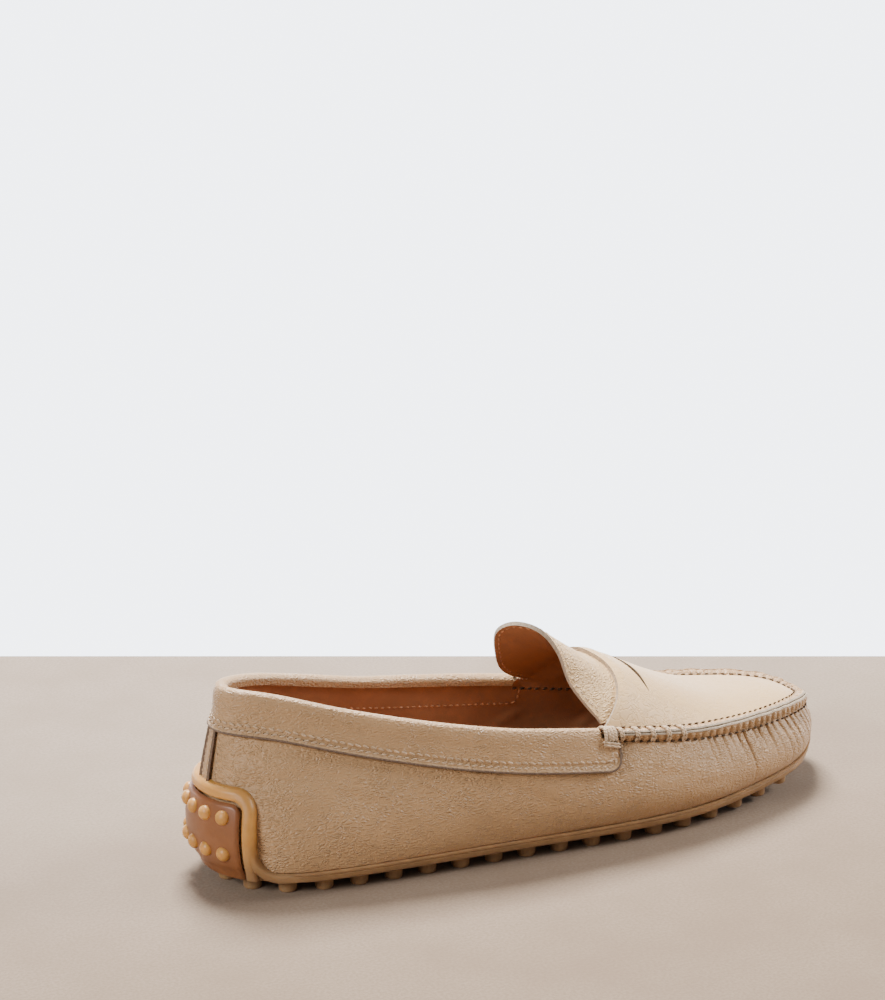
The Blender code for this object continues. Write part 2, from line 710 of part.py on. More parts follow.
def at_heel(row):
    """1 round the back of the heel, 0 from the sides of the heel forwards."""
    row = np.minimum(np.mod(row, ROUND), ROUND - np.mod(row, ROUND))
    return 1.0 - smooth_step(row, 1.2, 2.8)


def rim_offset(row):
    return RIM + (HEEL_RIM - RIM) * at_heel(row)


def underside_offset(row):
    return rim_offset(row) - BASE_UNDERCUT - (HEEL_UNDERCUT - BASE_UNDERCUT) * at_heel(row)


def stud_places():
    """Centres of the sole's studs: a ring along the edge, a second ring, and a middle line."""
    places = []
    rows = np.linspace(0, ROUND, 1601)
    for ring, inset in enumerate((STUD_INSET, STUD_INSET + STUD_PITCH)):
        x, y = edge_offset(rows, -inset)
        lengths = np.concatenate([[0.0], np.cumsum(np.hypot(np.diff(x), np.diff(y)))])
        count = round(lengths[-1] / STUD_PITCH)
        for turn in (np.arange(count) + 0.5 * ring) / count:
            distance = turn * lengths[-1]
            places.append((np.interp(distance, lengths, x), np.interp(distance, lengths, y)))
    return places


def far_enough(place, others, spacing):
    return all(math.hypot(place[0] - x, place[1] - y) > spacing for x, y in others)


def sole_studs():
    """Every stud's centre, the middle line first so that one stud stands on the origin."""
    rows = np.linspace(0, TOE, 401)
    middle_x, middle_y = FOOT_X(rows), spine_y(rows)
    origin_y = float(np.interp(0.0, middle_x, middle_y))
    line = []
    for step in range(-1, 16):
        x = step * STUD_PITCH
        line.append((x, float(np.interp(x, middle_x, middle_y)) - origin_y * math.exp(-abs(step))))
    kept = []
    for place in stud_places():
        if far_enough(place, kept, 0.8 * STUD_PITCH):
            kept.append(place)
    middle = [place for place in line if far_enough(place, kept, 0.8 * STUD_PITCH) or place[0] == 0]
    kept = [place for place in kept if far_enough(place, [(0.0, 0.0)], 0.7 * STUD_PITCH)]
    return middle + kept


def make_stud(x, y):
    """One tapered stud, its foot flat at the sole's height there."""
    rise = float(sole_rise(x, y))
    sunk = 0.5 * BASE_THICKNESS
    cage = bmesh.new()
    bmesh.ops.create_cone(
        cage,
        cap_ends=True,
        segments=8,
        radius1=STUD_RADIUS - STUD_TAPER,
        radius2=STUD_RADIUS,
        depth=STUD_HEIGHT + sunk,
    )
    bmesh.ops.translate(cage, verts=cage.verts, vec=(x, y, rise + (STUD_HEIGHT + sunk) / 2))
    return cage


def make_outsole(collection, cutters, rubber):
    """Rubber base, its studs and the frame round the heel, moulded as one piece."""
    mesh = plate(
        "outsole",
        rim_offset,
        underside_offset,
        lambda x, y: sole_rise(x, y) + STUD_HEIGHT,
        rim_top,
    )
    outsole = new_object("outsole", mesh, collection, rubber)
    studs = bpy.data.meshes.new("studs")
    joined = bmesh.new()
    for x, y in sole_studs():
        cage = make_stud(x, y)
        cage.to_mesh(studs)
        cage.free()
        joined.from_mesh(studs)
    joined.to_mesh(studs)
    joined.free()
    boolean(outsole, new_object("stud_blank", studs, cutters), "UNION")
    path = frame_path()
    frame = loft("heel_frame_blank", [frame_section(i, path) for i in range(len(path))])
    boolean(outsole, new_object("heel_frame_blank", frame, cutters), "UNION")
    smooth(outsole)
    return outsole


def make_insole(collection, leather):
    """Footbed that lies on the rubber inside the upper."""
    inset = WALL + 2 * GAP
    mesh = plate(
        "insole",
        lambda row: -inset,
        lambda row: -inset,
        lambda x, y: rim_top(x, y) + GAP,
        lambda x, y: rim_top(x, y) + GAP + INSOLE_THICKNESS,
        across_steps=2,
    )
    insole = new_object("insole", mesh, collection, leather)
    smooth(insole)
    return insole


def pad_thickness(height):
    """Thinner at its lower edge, where it tucks under the heel."""
    tuck = 0.5 + 0.5 * float(smooth_step(height, PAD_FOOT, PAD_FOOT + 0.006))
    return PAD_THICKNESS * tuck + heel_bulge(height)


def make_heel_pad(collection, cutters, rubber):
    """Panel inside the heel frame, with two rows of domed studs."""
    half = FRAME_HALF_SPAN - FRAME_WIDTH / 2 - GAP
    crown = FRAME_TOP - FRAME_WIDTH / 2 - GAP
    corner = FRAME_CORNER - FRAME_WIDTH / 2
    sections = []
    for distance in np.linspace(-half, half, 13):
        from_edge = half - abs(distance)
        drop = 0.0
        if from_edge < corner:
            drop = corner - math.sqrt(corner**2 - (corner - from_edge) ** 2)
        row = heel_row(distance)
        heights = np.concatenate([[PAD_FOOT, PAD_FOOT + 0.0015], np.linspace(PAD_FOOT + 0.0045, crown - drop, 5)])
        outside = [skin_at_height(row, z, GAP + pad_thickness(z)) for z in heights]
        inside = [skin_at_height(row, z, GAP) for z in reversed(heights)]
        sections.append(outside + inside)
    pad = new_object("heel_pad", loft("heel_pad", sections), collection, rubber)
    domes = bpy.data.meshes.new("domes")
    joined = bmesh.new()
    for height in PAD_STUD_ROWS:
        for index in range(PAD_STUDS_PER_ROW):
            distance = (index - (PAD_STUDS_PER_ROW - 1) / 2) * PAD_STUD_PITCH
            row = heel_row(distance)
            share = share_at(row, lambda points: points[:, 2], height)
            normal = wall_normal(row, share)
            place = skin_at_height(row, height, GAP + pad_thickness(height))
            level = unit(np.cross(UP, normal))
            upright = np.cross(normal, level)
            cage = bmesh.new()
            bmesh.ops.create_uvsphere(cage, u_segments=8, v_segments=6, radius=1.0)
            for vert in cage.verts:
                u, v, w = vert.co
                spot = place + level * u * PAD_STUD_RADIUS + upright * v * PAD_STUD_RADIUS
                vert.co = spot + normal * w * PAD_STUD_RISE
            cage.to_mesh(domes)
            cage.free()
            joined.from_mesh(domes)
    joined.to_mesh(domes)
    joined.free()
    boolean(pad, new_object("dome_blank", domes, cutters), "UNION")
    smooth(pad)
    return pad


def make_material(name, color, roughness):
    material = bpy.data.materials.new(name)
    material.use_nodes = True
    shader = material.node_tree.nodes["Principled BSDF"]
    shader.inputs["Base Color"].default_value = (*color, 1.0)
    shader.inputs["Roughness"].default_value = roughness
    shader.inputs["Metallic"].default_value = 0.0
    material.diffuse_color = (*color, 1.0)
    return material


def new_collection(name):
    collection = bpy.data.collections.new(name)
    bpy.context.scene.collection.children.link(collection)
    return collection


def main():
    for obj in list(bpy.data.objects):
        bpy.data.objects.remove(obj)
    shoe = new_collection("driving_moccasin")
    cutters = new_collection("cutters")
    leather = make_material("beige_leather", (0.62, 0.45, 0.29), 0.55)
    lining = make_material("tan_lining", (0.33, 0.12, 0.035), 0.6)
    rubber = make_material("gum_rubber", (0.75, 0.48, 0.22), 0.45)
    brown_rubber = make_material("brown_rubber", (0.45, 0.22, 0.10), 0.5)
    make_outsole(shoe, cutters, rubber)
    make_insole(shoe, lining)
    shell = make_upper(shoe, cutters, leather)
    make_tongue(shoe, leather)
    make_collar(shoe, leather)
    make_apron_seam(shoe, leather, shell)
    make_backstay(shoe, leather)
    make_heel_pad(shoe, cutters, brown_rubber)


main()
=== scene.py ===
"""Driving moccasin, right shoe: the dressed model over its solids.

Every leather and rubber piece follows the last, a table of sections from heel to
toe. +X points to the toe, +Y to the inner side, +Z up, the floor is z = 0.
"""

import math
from functools import partial

import bpy
import numpy as np
from bpy.props import FloatProperty, FloatVectorProperty, IntProperty, PointerProperty
from mathutils import Matrix
from mathutils.bvhtree import BVHTree


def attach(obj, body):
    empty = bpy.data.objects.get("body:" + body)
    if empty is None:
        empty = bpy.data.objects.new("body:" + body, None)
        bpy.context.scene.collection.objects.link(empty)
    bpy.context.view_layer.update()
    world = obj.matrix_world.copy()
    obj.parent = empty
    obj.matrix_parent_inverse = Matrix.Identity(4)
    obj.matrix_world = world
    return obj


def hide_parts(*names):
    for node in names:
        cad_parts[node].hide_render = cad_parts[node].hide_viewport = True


bl_info = {
    "name": "Driving Moccasin",
    "version": (1, 0, 0),
    "blender": (4, 5, 0),
    "location": "View3D > Sidebar > Moccasin",
    "description": "Leather driving moccasin on a studded rubber sole",
    "category": "Add Mesh",
}

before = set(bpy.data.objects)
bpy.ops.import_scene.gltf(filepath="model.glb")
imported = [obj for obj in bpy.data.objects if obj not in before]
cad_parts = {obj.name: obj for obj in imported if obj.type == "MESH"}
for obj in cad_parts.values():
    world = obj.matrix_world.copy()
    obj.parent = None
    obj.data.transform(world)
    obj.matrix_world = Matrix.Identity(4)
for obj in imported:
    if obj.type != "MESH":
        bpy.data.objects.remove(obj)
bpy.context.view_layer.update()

# Last and outline, in metres
LAST_LENGTH = 0.243
HEEL_WIDTH = 0.058
BALL_WIDTH = 0.0745
HEEL_CENTRE = 0.032
HEEL_HEIGHT = 0.0695
THROAT_HEIGHT = 0.0485
SEAM_HEIGHT = 0.0350
INSTEP_CROWN = 0.0204

# Leather
WALL = 0.0016
COLLAR_LEATHER = 0.0009
TONGUE_LEATHER = 0.0015
BACKSTAY_LEATHER = 0.0010
INSOLE_THICKNESS = 0.0022
COLLAR_BAND_HEEL = 0.0150
COLLAR_BAND_FRONT = 0.0154
COLLAR_CORNER = 0.0055
COLLAR_TAB = 0.0058
COLLAR_TAB_DEPTH = 0.0040
COLLAR_TURN_IN = 0.0032
CREST_RISE = 0.0022
SEAM_INNER = 0.0036
SEAM_OUTER = 0.0025
SEAM_RISE = 0.0022
BACKSTAY_WIDTH = 0.0075
TONGUE_REACH = 0.0340
TONGUE_RISE = 0.0180
TONGUE_UNDERLAP = 0.0120
SLIT_SETBACK = 0.0115
SLIT_LENGTH = 0.0460
SLIT_WIDTH = 0.0018

# Rubber
STUD_HEIGHT = 0.0048
STUD_RADIUS = 0.0035
STUD_TAPER = 0.0004
STUD_PITCH = 0.0125
STUD_INSET = 0.0065
BASE_THICKNESS = 0.0037
RIM = 0.0010
HEEL_RIM = 0.0002
BASE_UNDERCUT = 0.0008
HEEL_UNDERCUT = 0.0016
TOE_SPRING = 0.0070
SPRING_START = 0.66
ARCH_LIFT = 0.0008
FRAME_WIDTH = 0.0042
FRAME_THICKNESS = 0.0032
FRAME_TOP = 0.0357
FRAME_HALF_SPAN = 0.0206
FRAME_CORNER = 0.0055
PAD_THICKNESS = 0.0026
PAD_FOOT = 0.0056
HEEL_BULGE = 0.0018
PAD_STUD_RADIUS = 0.0026
PAD_STUD_RISE = 0.0021
PAD_STUD_PITCH = 0.0064
PAD_STUD_ROWS = (0.0283, 0.0155)
PAD_STUDS_PER_ROW = 5

GAP = 0.0003
MM = 0.001
APRON_STEPS = 130
SEAM_COLUMNS = 900
SEAM_MARGIN = 0.005
RAW_EDGES = ((6.0, 8.6), (10.4, 13.0))  # steps of SEAM_PROFILE that show cut leather
SLOPE_STEP = 1e-3
FRAME_BEND = 0.0105

# Stitches: the length of each and the radius of its thread
COLLAR_STITCH = (0.0024, 0.00046)
# The collar's needle holes are dark marks of painted shade, given by length and radius.
COLLAR_HOLE_SHADE = (0.0008, 0.00036)
COLLAR_INNER_STITCH = (0.0017, 0.00030)
TONGUE_STITCH = (0.0018, 0.00030)
TONGUE_INNER_STITCH = (0.0016, 0.00028)
SEAM_INNER_STITCH = (0.0024, 0.00050)
BACKSTAY_STITCH = (0.0017, 0.00028)
BACKSTAY_PITCH = 0.0023
# Distance inside the edge and tilt of each row of collar stitches
COLLAR_STITCH_ROWS = ((0.0016, 0.30), (0.0034, -0.30))
COLLAR_INNER_INSET = 0.0025
TONGUE_STITCH_INSET = 0.0016
# Half length, width and height of the dark mark of painted shade for a needle hole at the seam
SEAM_HOLE_SHADE = (0.00095, 0.00036, 0.00044)
# Radii of the laid threads
BAR_THREAD = 0.00046
LASHING_THREAD = 0.00066
TIE_THREAD = 0.00052
# A dark cord along the collar's lower edge: its painted edge and the painted shadow under the band's lip.
EDGE_PAINT_AND_SHADOW = 0.00046
# Distances of the laid threads from the seam's end, in millimetres
BAR_START, BAR_PITCH = 6.8, 6.4
LASHINGS = (0.4, 1.7, 2.9, 4.2)

UP = np.array([0.0, 0.0, 1.0])
SIDE = np.array([0.0, 1.0, 0.0])
FRONT = np.array([1.0, 0.0, 0.0])

# Sections of the last, heel to toe. along and top_along are shares of LAST_LENGTH;
# the four widths are shares of the row's width, and top is a share of its height;
# swell and shoulder push the wall outwards low down and high up, in millimetres;
# crown is a share of INSTEP_CROWN; drop lowers the medial top line, in millimetres.
WALL_ROWS = (
    # along, width, foot_lateral, foot_medial, top_along, top_lateral, top_medial,
    # height, top, swell, shoulder, crown, drop
    (0.000, HEEL_WIDTH, 0.000, 0.000, 0.024, 0.000, 0.000, HEEL_HEIGHT, 1.000, 4.8, 3.2, 0.00, 0.0),
    (0.013, HEEL_WIDTH, 0.205, 0.200, 0.038, 0.110, 0.110, HEEL_HEIGHT, 0.998, 5.0, 3.8, 0.00, 0.0),
    (0.060, HEEL_WIDTH, 0.405, 0.385, 0.087, 0.215, 0.205, HEEL_HEIGHT, 0.970, 5.0, 4.1, 0.00, 0.0),
    (0.139, HEEL_WIDTH, 0.510, 0.485, 0.156, 0.325, 0.305, HEEL_HEIGHT, 0.902, 5.2, 3.5, 0.00, 0.0),
    (0.273, HEEL_WIDTH, 0.565, 0.500, 0.279, 0.455, 0.405, THROAT_HEIGHT, 1.135, 5.9, 3.8, 0.00, 0.0),
    (0.421, HEEL_WIDTH, 0.608, 0.500, 0.423, 0.570, 0.480, THROAT_HEIGHT, 1.000, 6.8, 4.5, 0.85, 0.0),
    (0.576, BALL_WIDTH, 0.510, 0.440, 0.574, 0.450, 0.390, SEAM_HEIGHT, 1.220, 7.9, 5.6, 1.00, 0.6),
    (0.714, BALL_WIDTH, 0.495, 0.505, 0.694, 0.435, 0.390, SEAM_HEIGHT, 1.075, 8.0, 5.8, 0.60, 1.3),
    (0.833, BALL_WIDTH, 0.405, 0.505, 0.806, 0.365, 0.370, SEAM_HEIGHT, 1.000, 6.8, 5.4, 0.19, 1.6),
    (0.924, BALL_WIDTH, 0.285, 0.430, 0.893, 0.252, 0.302, SEAM_HEIGHT, 0.950, 5.4, 4.6, 0.11, 1.3),
    (0.979, BALL_WIDTH, 0.085, 0.285, 0.953, 0.108, 0.188, SEAM_HEIGHT, 0.885, 3.4, 3.4, 0.04, 0.6),
    (1.000, BALL_WIDTH, -0.085, 0.085, 0.971, -0.050, 0.050, SEAM_HEIGHT, 0.825, 2.8, 2.8, 0.00, 0.0),
)
# Tongue's rim from its lateral to its medial corner. back and rise are shares of
# TONGUE_REACH and TONGUE_RISE, both from the strap's rear edge.
TONGUE_RIM = (
    # across, back, rise
    (-1.00, 0.06, 0.00),
    (-0.88, 0.30, 0.08),
    (-0.72, 0.53, 0.29),
    (-0.52, 0.64, 0.72),
    (-0.26, 0.75, 0.96),
    (0.00, 0.91, 1.00),
    (0.28, 1.00, 0.73),
    (0.52, 0.88, 0.28),
    (0.72, 0.68, 0.02),
    (0.88, 0.38, -0.04),
    (1.00, 0.06, 0.00),
)
# Creases pressed into the wall by wear, each a soft trough with a low ridge beside it.
CREASES = (
    # row, depth under the top line in mm, length, slant in degrees, width, depth
    (1.78, 52.5, 7.0, 24.0, 0.8, 0.60),
    (1.86, 54.8, 8.0, 16.0, 0.8, 0.65),
    (1.72, 50.0, 6.0, 34.0, 0.7, 0.45),
    (2.02, 29.0, 24.0, -27.0, 2.2, 0.40),
    (2.30, 38.0, 18.0, -12.0, 2.2, 0.25),
    (3.30, 30.0, 14.0, -8.0, 1.8, 0.25),
    (5.10, 24.0, 16.0, 12.0, 2.0, 0.25),
    (6.60, 17.0, 12.0, -20.0, 1.8, 0.30),
    (7.10, 22.0, 14.0, -14.0, 2.0, 0.30),
    (16.2, 20.0, 14.0, 12.0, 2.0, 0.30),
    (15.1, 24.0, 12.0, 16.0, 1.8, 0.30),
    (20.4, 40.0, 10.0, -16.0, 1.4, 0.40),
)
TONGUE_SPAN = 0.93
TOE = len(WALL_ROWS) - 1
ROUND = 2 * TOE
THROAT = 5.80
COLLAR_END = THROAT - 0.03
STRAP_SETBACK = 0.45
STRAP_SKEW = 0.06
APRON_POWER = 2.64
TIP_SLOPE = 0.004
CONTROL_SHARE = 0.35


def ring_spline(values):
    """A smooth closed curve through one value per row, as a function of the row number."""
    count = len(values)
    values = np.array(values, float)
    system = 4 * np.eye(count) + np.roll(np.eye(count), 1, axis=1) + np.roll(np.eye(count), -1, axis=1)
    slopes = np.linalg.solve(system, 3 * (np.roll(values, -1) - np.roll(values, 1)))

    def at(row):
        row = np.mod(np.asarray(row, float), count)
        low = np.floor(row).astype(int) % count
        high = (low + 1) % count
        part = row - np.floor(row)
        return (
            values[low] * (2 * part**3 - 3 * part**2 + 1)
            + values[high] * (3 * part**2 - 2 * part**3)
            + slopes[low] * (part**3 - 2 * part**2 + part)
            + slopes[high] * (part**3 - part**2)
        )

    return at


def ring_column(value_of_row, lateral_sign=1.0, medial_of_row=None):
    """The spline of one table column, taken down the lateral side and back up the medial one."""
    lateral = [lateral_sign * value_of_row(row) for row in WALL_ROWS]
    medial = [(medial_of_row or value_of_row)(row) for row in WALL_ROWS]
    return ring_spline(lateral + medial[-2:0:-1])


FOOT_X = ring_column(lambda row: row[0] * LAST_LENGTH - HEEL_CENTRE)
FOOT_Y = ring_column(lambda row: row[1] * row[2], -1.0, lambda row: row[1] * row[3])
TOP_X = ring_column(lambda row: row[4] * LAST_LENGTH - HEEL_CENTRE)
TOP_Y = ring_column(lambda row: row[1] * row[5], -1.0, lambda row: row[1] * row[6])
TOP_Z = ring_column(lambda row: row[7] * row[8], 1.0, lambda row: row[7] * row[8] - row[12] * MM)
SWELL = ring_column(lambda row: row[9] * MM)
SHOULDER = ring_column(lambda row: row[10] * MM)
CROWN = ring_column(lambda row: row[11] * INSTEP_CROWN)


def smooth_step(value, low, high):
    """0 below low, 1 above high, and a smooth rise between them."""
    part = np.clip((np.asarray(value, float) - low) / (high - low), 0.0, 1.0)
    return part * part * (3 - 2 * part)


def unit(vectors):
    return vectors / np.linalg.norm(vectors, axis=-1, keepdims=True)


def lengths_along(points):
    """Distance along a line of points, from its first one."""
    return np.concatenate([[0.0], np.cumsum(np.linalg.norm(np.diff(points, axis=0), axis=1))])


def sole_rise(x, y=0.0):
    """How far the sole's underside rises towards the toe, and at the inner arch."""
    share = (np.asarray(x, float) + HEEL_CENTRE) / LAST_LENGTH
    spring = np.clip((share - SPRING_START) / (1 - SPRING_START), 0.0, None)
    waist = np.sin(math.pi * np.clip((share - 0.27) / 0.30, 0.0, 1.0)) ** 2
    inner = smooth_step(y, -0.4 * HEEL_WIDTH, 0.4 * HEEL_WIDTH)
    return TOE_SPRING * spring**2 + ARCH_LIFT * waist * inner


def rim_top(x, y=0.0):
    return sole_rise(x, y) + STUD_HEIGHT + BASE_THICKNESS


def outward(row):
    """Level unit vector square to the leather's lower edge, pointing out."""
    dx = FOOT_X(row + SLOPE_STEP) - FOOT_X(row - SLOPE_STEP)
    dy = FOOT_Y(row + SLOPE_STEP) - FOOT_Y(row - SLOPE_STEP)
    return unit(np.stack([dy, -dx, 0 * dx], axis=-1))


def foot(row):
    x, y = FOOT_X(row), FOOT_Y(row)
    return np.stack([x, y, rim_top(x, y) + GAP], axis=-1)


def top(row):
    return np.stack([TOP_X(row), TOP_Y(row), TOP_Z(row)], axis=-1)


def wall(row, share):
    """The upper's outer face: a cubic curve from its lower edge (0) to its top line (1)."""
    row, share = np.broadcast_arrays(np.asarray(row, float), np.asarray(share, float))
    low, high, out = foot(row), top(row), outward(row)
    rise = CONTROL_SHARE * (high - low)[..., 2:] * UP
    share = share[..., None]
    low_control = low + out * SWELL(row)[..., None] + rise
    high_control = high + out * SHOULDER(row)[..., None] - rise
    return (
        low * (1 - share) ** 3
        + 3 * low_control * share * (1 - share) ** 2
        + 3 * high_control * share**2 * (1 - share)
        + high * share**3
    )


def wall_normal(row, share):
    along = wall(row + SLOPE_STEP, share) - wall(row - SLOPE_STEP, share)
    upward = wall(row, share + SLOPE_STEP) - wall(row, share - SLOPE_STEP)
    return unit(np.cross(along, upward))


def share_below_top(row, depth):
    """The share of a section that lies depth below its top; depth may be a list."""
    shares = np.linspace(0.0, 1.0, 61)
    lengths = lengths_along(wall(row, shares))
    return np.interp(lengths[-1] - np.asarray(depth, float), lengths, shares)


def skin(row, depth, offset):
    """Points of one section, each depth below the top line and offset out from the wall."""
    share = share_below_top(row, depth)
    return wall(row, share) + wall_normal(row, share) * np.asarray(offset, float)[..., None]


def share_at_height(row, height):
    """The share of a section that lies at a height."""
    shares = np.linspace(0.0, 1.0, 61)
    return np.interp(height, wall(row, shares)[:, 2], shares)


def skin_at_height(row, height, offset):
    """Points of one section at given heights, each moved level out; straight down below the wall."""
    share = share_at_height(row, height)
    point = wall(row, share) + outward(row) * np.asarray(offset, float)[..., None]
    point[..., 2] = height
    return point


EDGE_ROWS = np.linspace(0.0, ROUND, 1101)
EDGE_SHARES = np.array([share_below_top(row, CREST_RISE) for row in EDGE_ROWS])


def edge(row):
    """The shell's own upper edge, a little below the top line."""
    row = np.asarray(row, float)
    return wall(row, np.interp(np.mod(row, ROUND), EDGE_ROWS, EDGE_SHARES))


def apron(row, across):
    """The apron's outer face, from its lateral edge (across -1) to its medial one (1)."""
    row, across = np.broadcast_arrays(np.asarray(row, float), np.asarray(across, float))
    share = ((1 + across) / 2)[..., None]
    lateral = edge(row)
    points = lateral * (1 - share) + edge(ROUND - row) * share
    behind_tip = np.maximum(TOP_X(TOE) - TOP_X(row), 0.0)
    rise = (CROWN(row) + TOP_Z(row) - lateral[..., 2]) * (1 - np.exp(-behind_tip / TIP_SLOPE))
    points[..., 2] += rise * (1 - np.abs(across) ** APRON_POWER)
    return points


def apron_normal(row, across):
    along = apron(row + SLOPE_STEP, across) - apron(row - SLOPE_STEP, across)
    sideways = apron(row, across + SLOPE_STEP) - apron(row, across - SLOPE_STEP)
    return unit(np.cross(along, sideways))


def strap_row(row, across):
    """Moves an apron row forwards near the throat, where the strap's rear edge is hollow."""
    fade = (TOE - row) / (TOE - THROAT)
    return row + (STRAP_SETBACK - STRAP_SKEW * across) * (1 - np.abs(across) ** 4) * fade**2


def row_ahead(row, distance):
    """The row that lies a distance ahead of another along the top line."""
    rows = np.linspace(row, row + 1.0, 201)
    return float(np.interp(distance, lengths_along(top(rows)), rows))


def rounding(corner, from_edge):
    """How far a rounded corner lies below the straight edge, at a distance from its end."""
    return corner - math.sqrt(max(corner**2 - max(corner - from_edge, 0.0) ** 2, 0.0))


def band_height(row):
    return COLLAR_BAND_HEEL + (COLLAR_BAND_FRONT - COLLAR_BAND_HEEL) * abs(row) / THROAT


def collar_band(row):
    """Height of the collar's outer leg, rounded off at its two front corners."""
    end = np.linalg.norm(top(TAB_END) - top(abs(row)))
    return band_height(row) - rounding(COLLAR_CORNER, end)


TAB_END = row_ahead(THROAT, COLLAR_TAB)
RING_ROWS = np.linspace(0.0, ROUND, 1761)
RING_LENGTHS = lengths_along(top(RING_ROWS))


def along_top(row):
    """Distance along the top line from the heel's back."""
    return np.interp(np.mod(row, ROUND), RING_ROWS, RING_LENGTHS)


def row_at(distance):
    return np.interp(np.mod(distance, RING_LENGTHS[-1]), RING_LENGTHS, RING_ROWS)


def scatter(number, seed=0.0):
    """A fixed value from 0 to 1 for a whole number, so that like details differ a little."""
    value = np.sin(np.asarray(number, float) * 127.1 + seed * 311.7) * 43758.5453
    return value - np.floor(value)


def bell(value):
    """1 at zero, falling off smoothly to both sides."""
    return np.exp(-(value**2))


def through(knots, values, at):
    """A smooth curve through a few values."""
    slopes = np.gradient(values, knots)
    k = np.clip(np.searchsorted(knots, at) - 1, 0, len(knots) - 2)
    span = knots[k + 1] - knots[k]
    part = (at - knots[k]) / span
    return (
        values[k] * (2 * part**3 - 3 * part**2 + 1)
        + values[k + 1] * (3 * part**2 - 2 * part**3)
        + span * slopes[k] * (part**3 - 2 * part**2 + part)
        + span * slopes[k + 1] * (part**3 - part**2)
    )


# Making meshes


def deselect():
    if bpy.context.object and bpy.context.object.mode != "OBJECT":
        bpy.ops.object.mode_set(mode="OBJECT")
    bpy.ops.object.select_all(action="DESELECT")


def cloth_grid(name, across, along, place, finishes, facing, wrap=False):
    """A grid primitive whose points a function of two shares, 0 to 1, lays on the shoe.

    facing is a direction in which the furthest face must look.
    """
    deselect()
    bpy.ops.mesh.primitive_grid_add(x_subdivisions=across, y_subdivisions=along, size=1.0)
    piece = bpy.context.object
    piece.name = piece.data.name = name
    mesh = piece.data
    flat = np.empty(len(mesh.vertices) * 3)
    mesh.vertices.foreach_get("co", flat)
    flat = flat.reshape(-1, 3) + 0.5
    u = flat[:, 0].reshape(along + 1, across + 1)
    v = flat[:, 1].reshape(along + 1, across + 1)
    points = np.asarray(place(np.clip(u, 0, 1), np.clip(v, 0, 1)), float)
    mesh.vertices.foreach_set("co", points.reshape(-1))
    mesh.update()
    furthest = max(mesh.polygons, key=lambda face: float(np.dot(face.center, facing)))
    if np.dot(furthest.normal, facing) < 0:
        mesh.flip_normals()
    if wrap:
        bpy.ops.object.mode_set(mode="EDIT")
        bpy.ops.mesh.select_all(action="SELECT")
        bpy.ops.mesh.remove_doubles(threshold=2e-6)
        bpy.ops.object.mode_set(mode="OBJECT")
    for finish in finishes:
        mesh.materials.append(Finishes.get(finish))
    return piece


def apply_modifier(piece, kind, **settings):
    deselect()
    piece.select_set(True)
    bpy.context.view_layer.objects.active = piece
    modifier = piece.modifiers.new(kind.title(), kind)
    for key, value in settings.items():
        setattr(modifier, key, value)
    bpy.ops.object.modifier_apply(modifier=modifier.name)


def thicken(piece, thickness, inner=0, rim=0):
    apply_modifier(
        piece,
        "SOLIDIFY",
        thickness=thickness,
        offset=-1.0,
        use_even_offset=False,
        material_offset=inner,
        material_offset_rim=rim,
    )


def shade(piece, degrees=40.0):
    deselect()
    piece.select_set(True)
    bpy.context.view_layer.objects.active = piece
    bpy.ops.object.shade_smooth_by_angle(angle=math.radians(degrees))


def finish_piece(piece, slot, *nodes, degrees=40.0):
    shade(piece, degrees)
    if nodes:
        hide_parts(*nodes)
    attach(piece, "root")
    return piece


def template(kind, bevel=None, **settings):
    """Points and faces of a primitive, modelled once and copied many times."""
    deselect()
    getattr(bpy.ops.mesh, "primitive_" + kind + "_add")(**settings)
    pattern = bpy.context.object
    bpy.ops.object.transform_apply(location=True, rotation=True, scale=True)
    if bevel:
        apply_modifier(pattern, "BEVEL", width=bevel, segments=3, limit_method="ANGLE")
    points = np.array([vertex.co for vertex in pattern.data.vertices])
    faces = [tuple(polygon.vertices) for polygon in pattern.data.polygons]
    bpy.data.objects.remove(pattern)
    return points, faces


def joined(name, parts, finishes):
    """One mesh of many small bodies, each given as its points and faces."""
    points, faces, start = [], [], 0
    for part_points, part_faces in parts:
        points.append(part_points)
        faces += [tuple(start + index for index in face) for face in part_faces]
        start += len(part_points)
    mesh = bpy.data.meshes.new(name)
    mesh.from_pydata(np.concatenate(points).tolist(), [], faces)
    piece = bpy.data.objects.new(name, mesh)
    bpy.context.scene.collection.objects.link(piece)
    deselect()
    piece.select_set(True)
    bpy.context.view_layer.objects.active = piece
    bpy.ops.object.mode_set(mode="EDIT")
    bpy.ops.mesh.select_all(action="SELECT")
    bpy.ops.mesh.normals_make_consistent(inside=False)
    bpy.ops.object.mode_set(mode="OBJECT")
    for finish in finishes:
        mesh.materials.append(Finishes.get(finish))
    return piece


def tube(points, radius, sides=8):
    """A round thread along a line of points, with closed ends."""
    points = np.asarray(points, float)
    heading = unit(np.gradient(points, axis=0))
    side = unit(np.cross(heading, UP + 0.01 * np.array([1.0, 0.3, 0.0])))
    rise = np.cross(side, heading)
    turns = np.linspace(0, 2 * math.pi, sides, endpoint=False)
    radii = radius * np.ones(len(points))
    radii[[0, -1]] *= 0.55
    rings = [
        point + r * (np.outer(np.cos(turns), s) + np.outer(np.sin(turns), n))
        for point, r, s, n in zip(points, radii, side, rise)
    ]
    faces = []
    for i in range(len(points) - 1):
        for j in range(sides):
            k = (j + 1) % sides
            faces.append((i * sides + j, i * sides + k, (i + 1) * sides + k, (i + 1) * sides + j))
    last = (len(points) - 1) * sides
    faces.append(tuple(reversed(range(sides))))
    faces.append(tuple(range(last, last + sides)))
    return np.concatenate(rings), faces


def small_parts(name, parts, finish, slot="beige_leather", degrees=80):
    """One finished piece of many small bodies."""
    finish_piece(joined(name, parts, (finish,)), slot, degrees=degrees)


def at_shares(values, lengths, places):
    """Each column of values, read at places along its lengths."""
    return np.stack([np.interp(places, lengths, values[:, i]) for i in range(values.shape[1])], axis=-1)


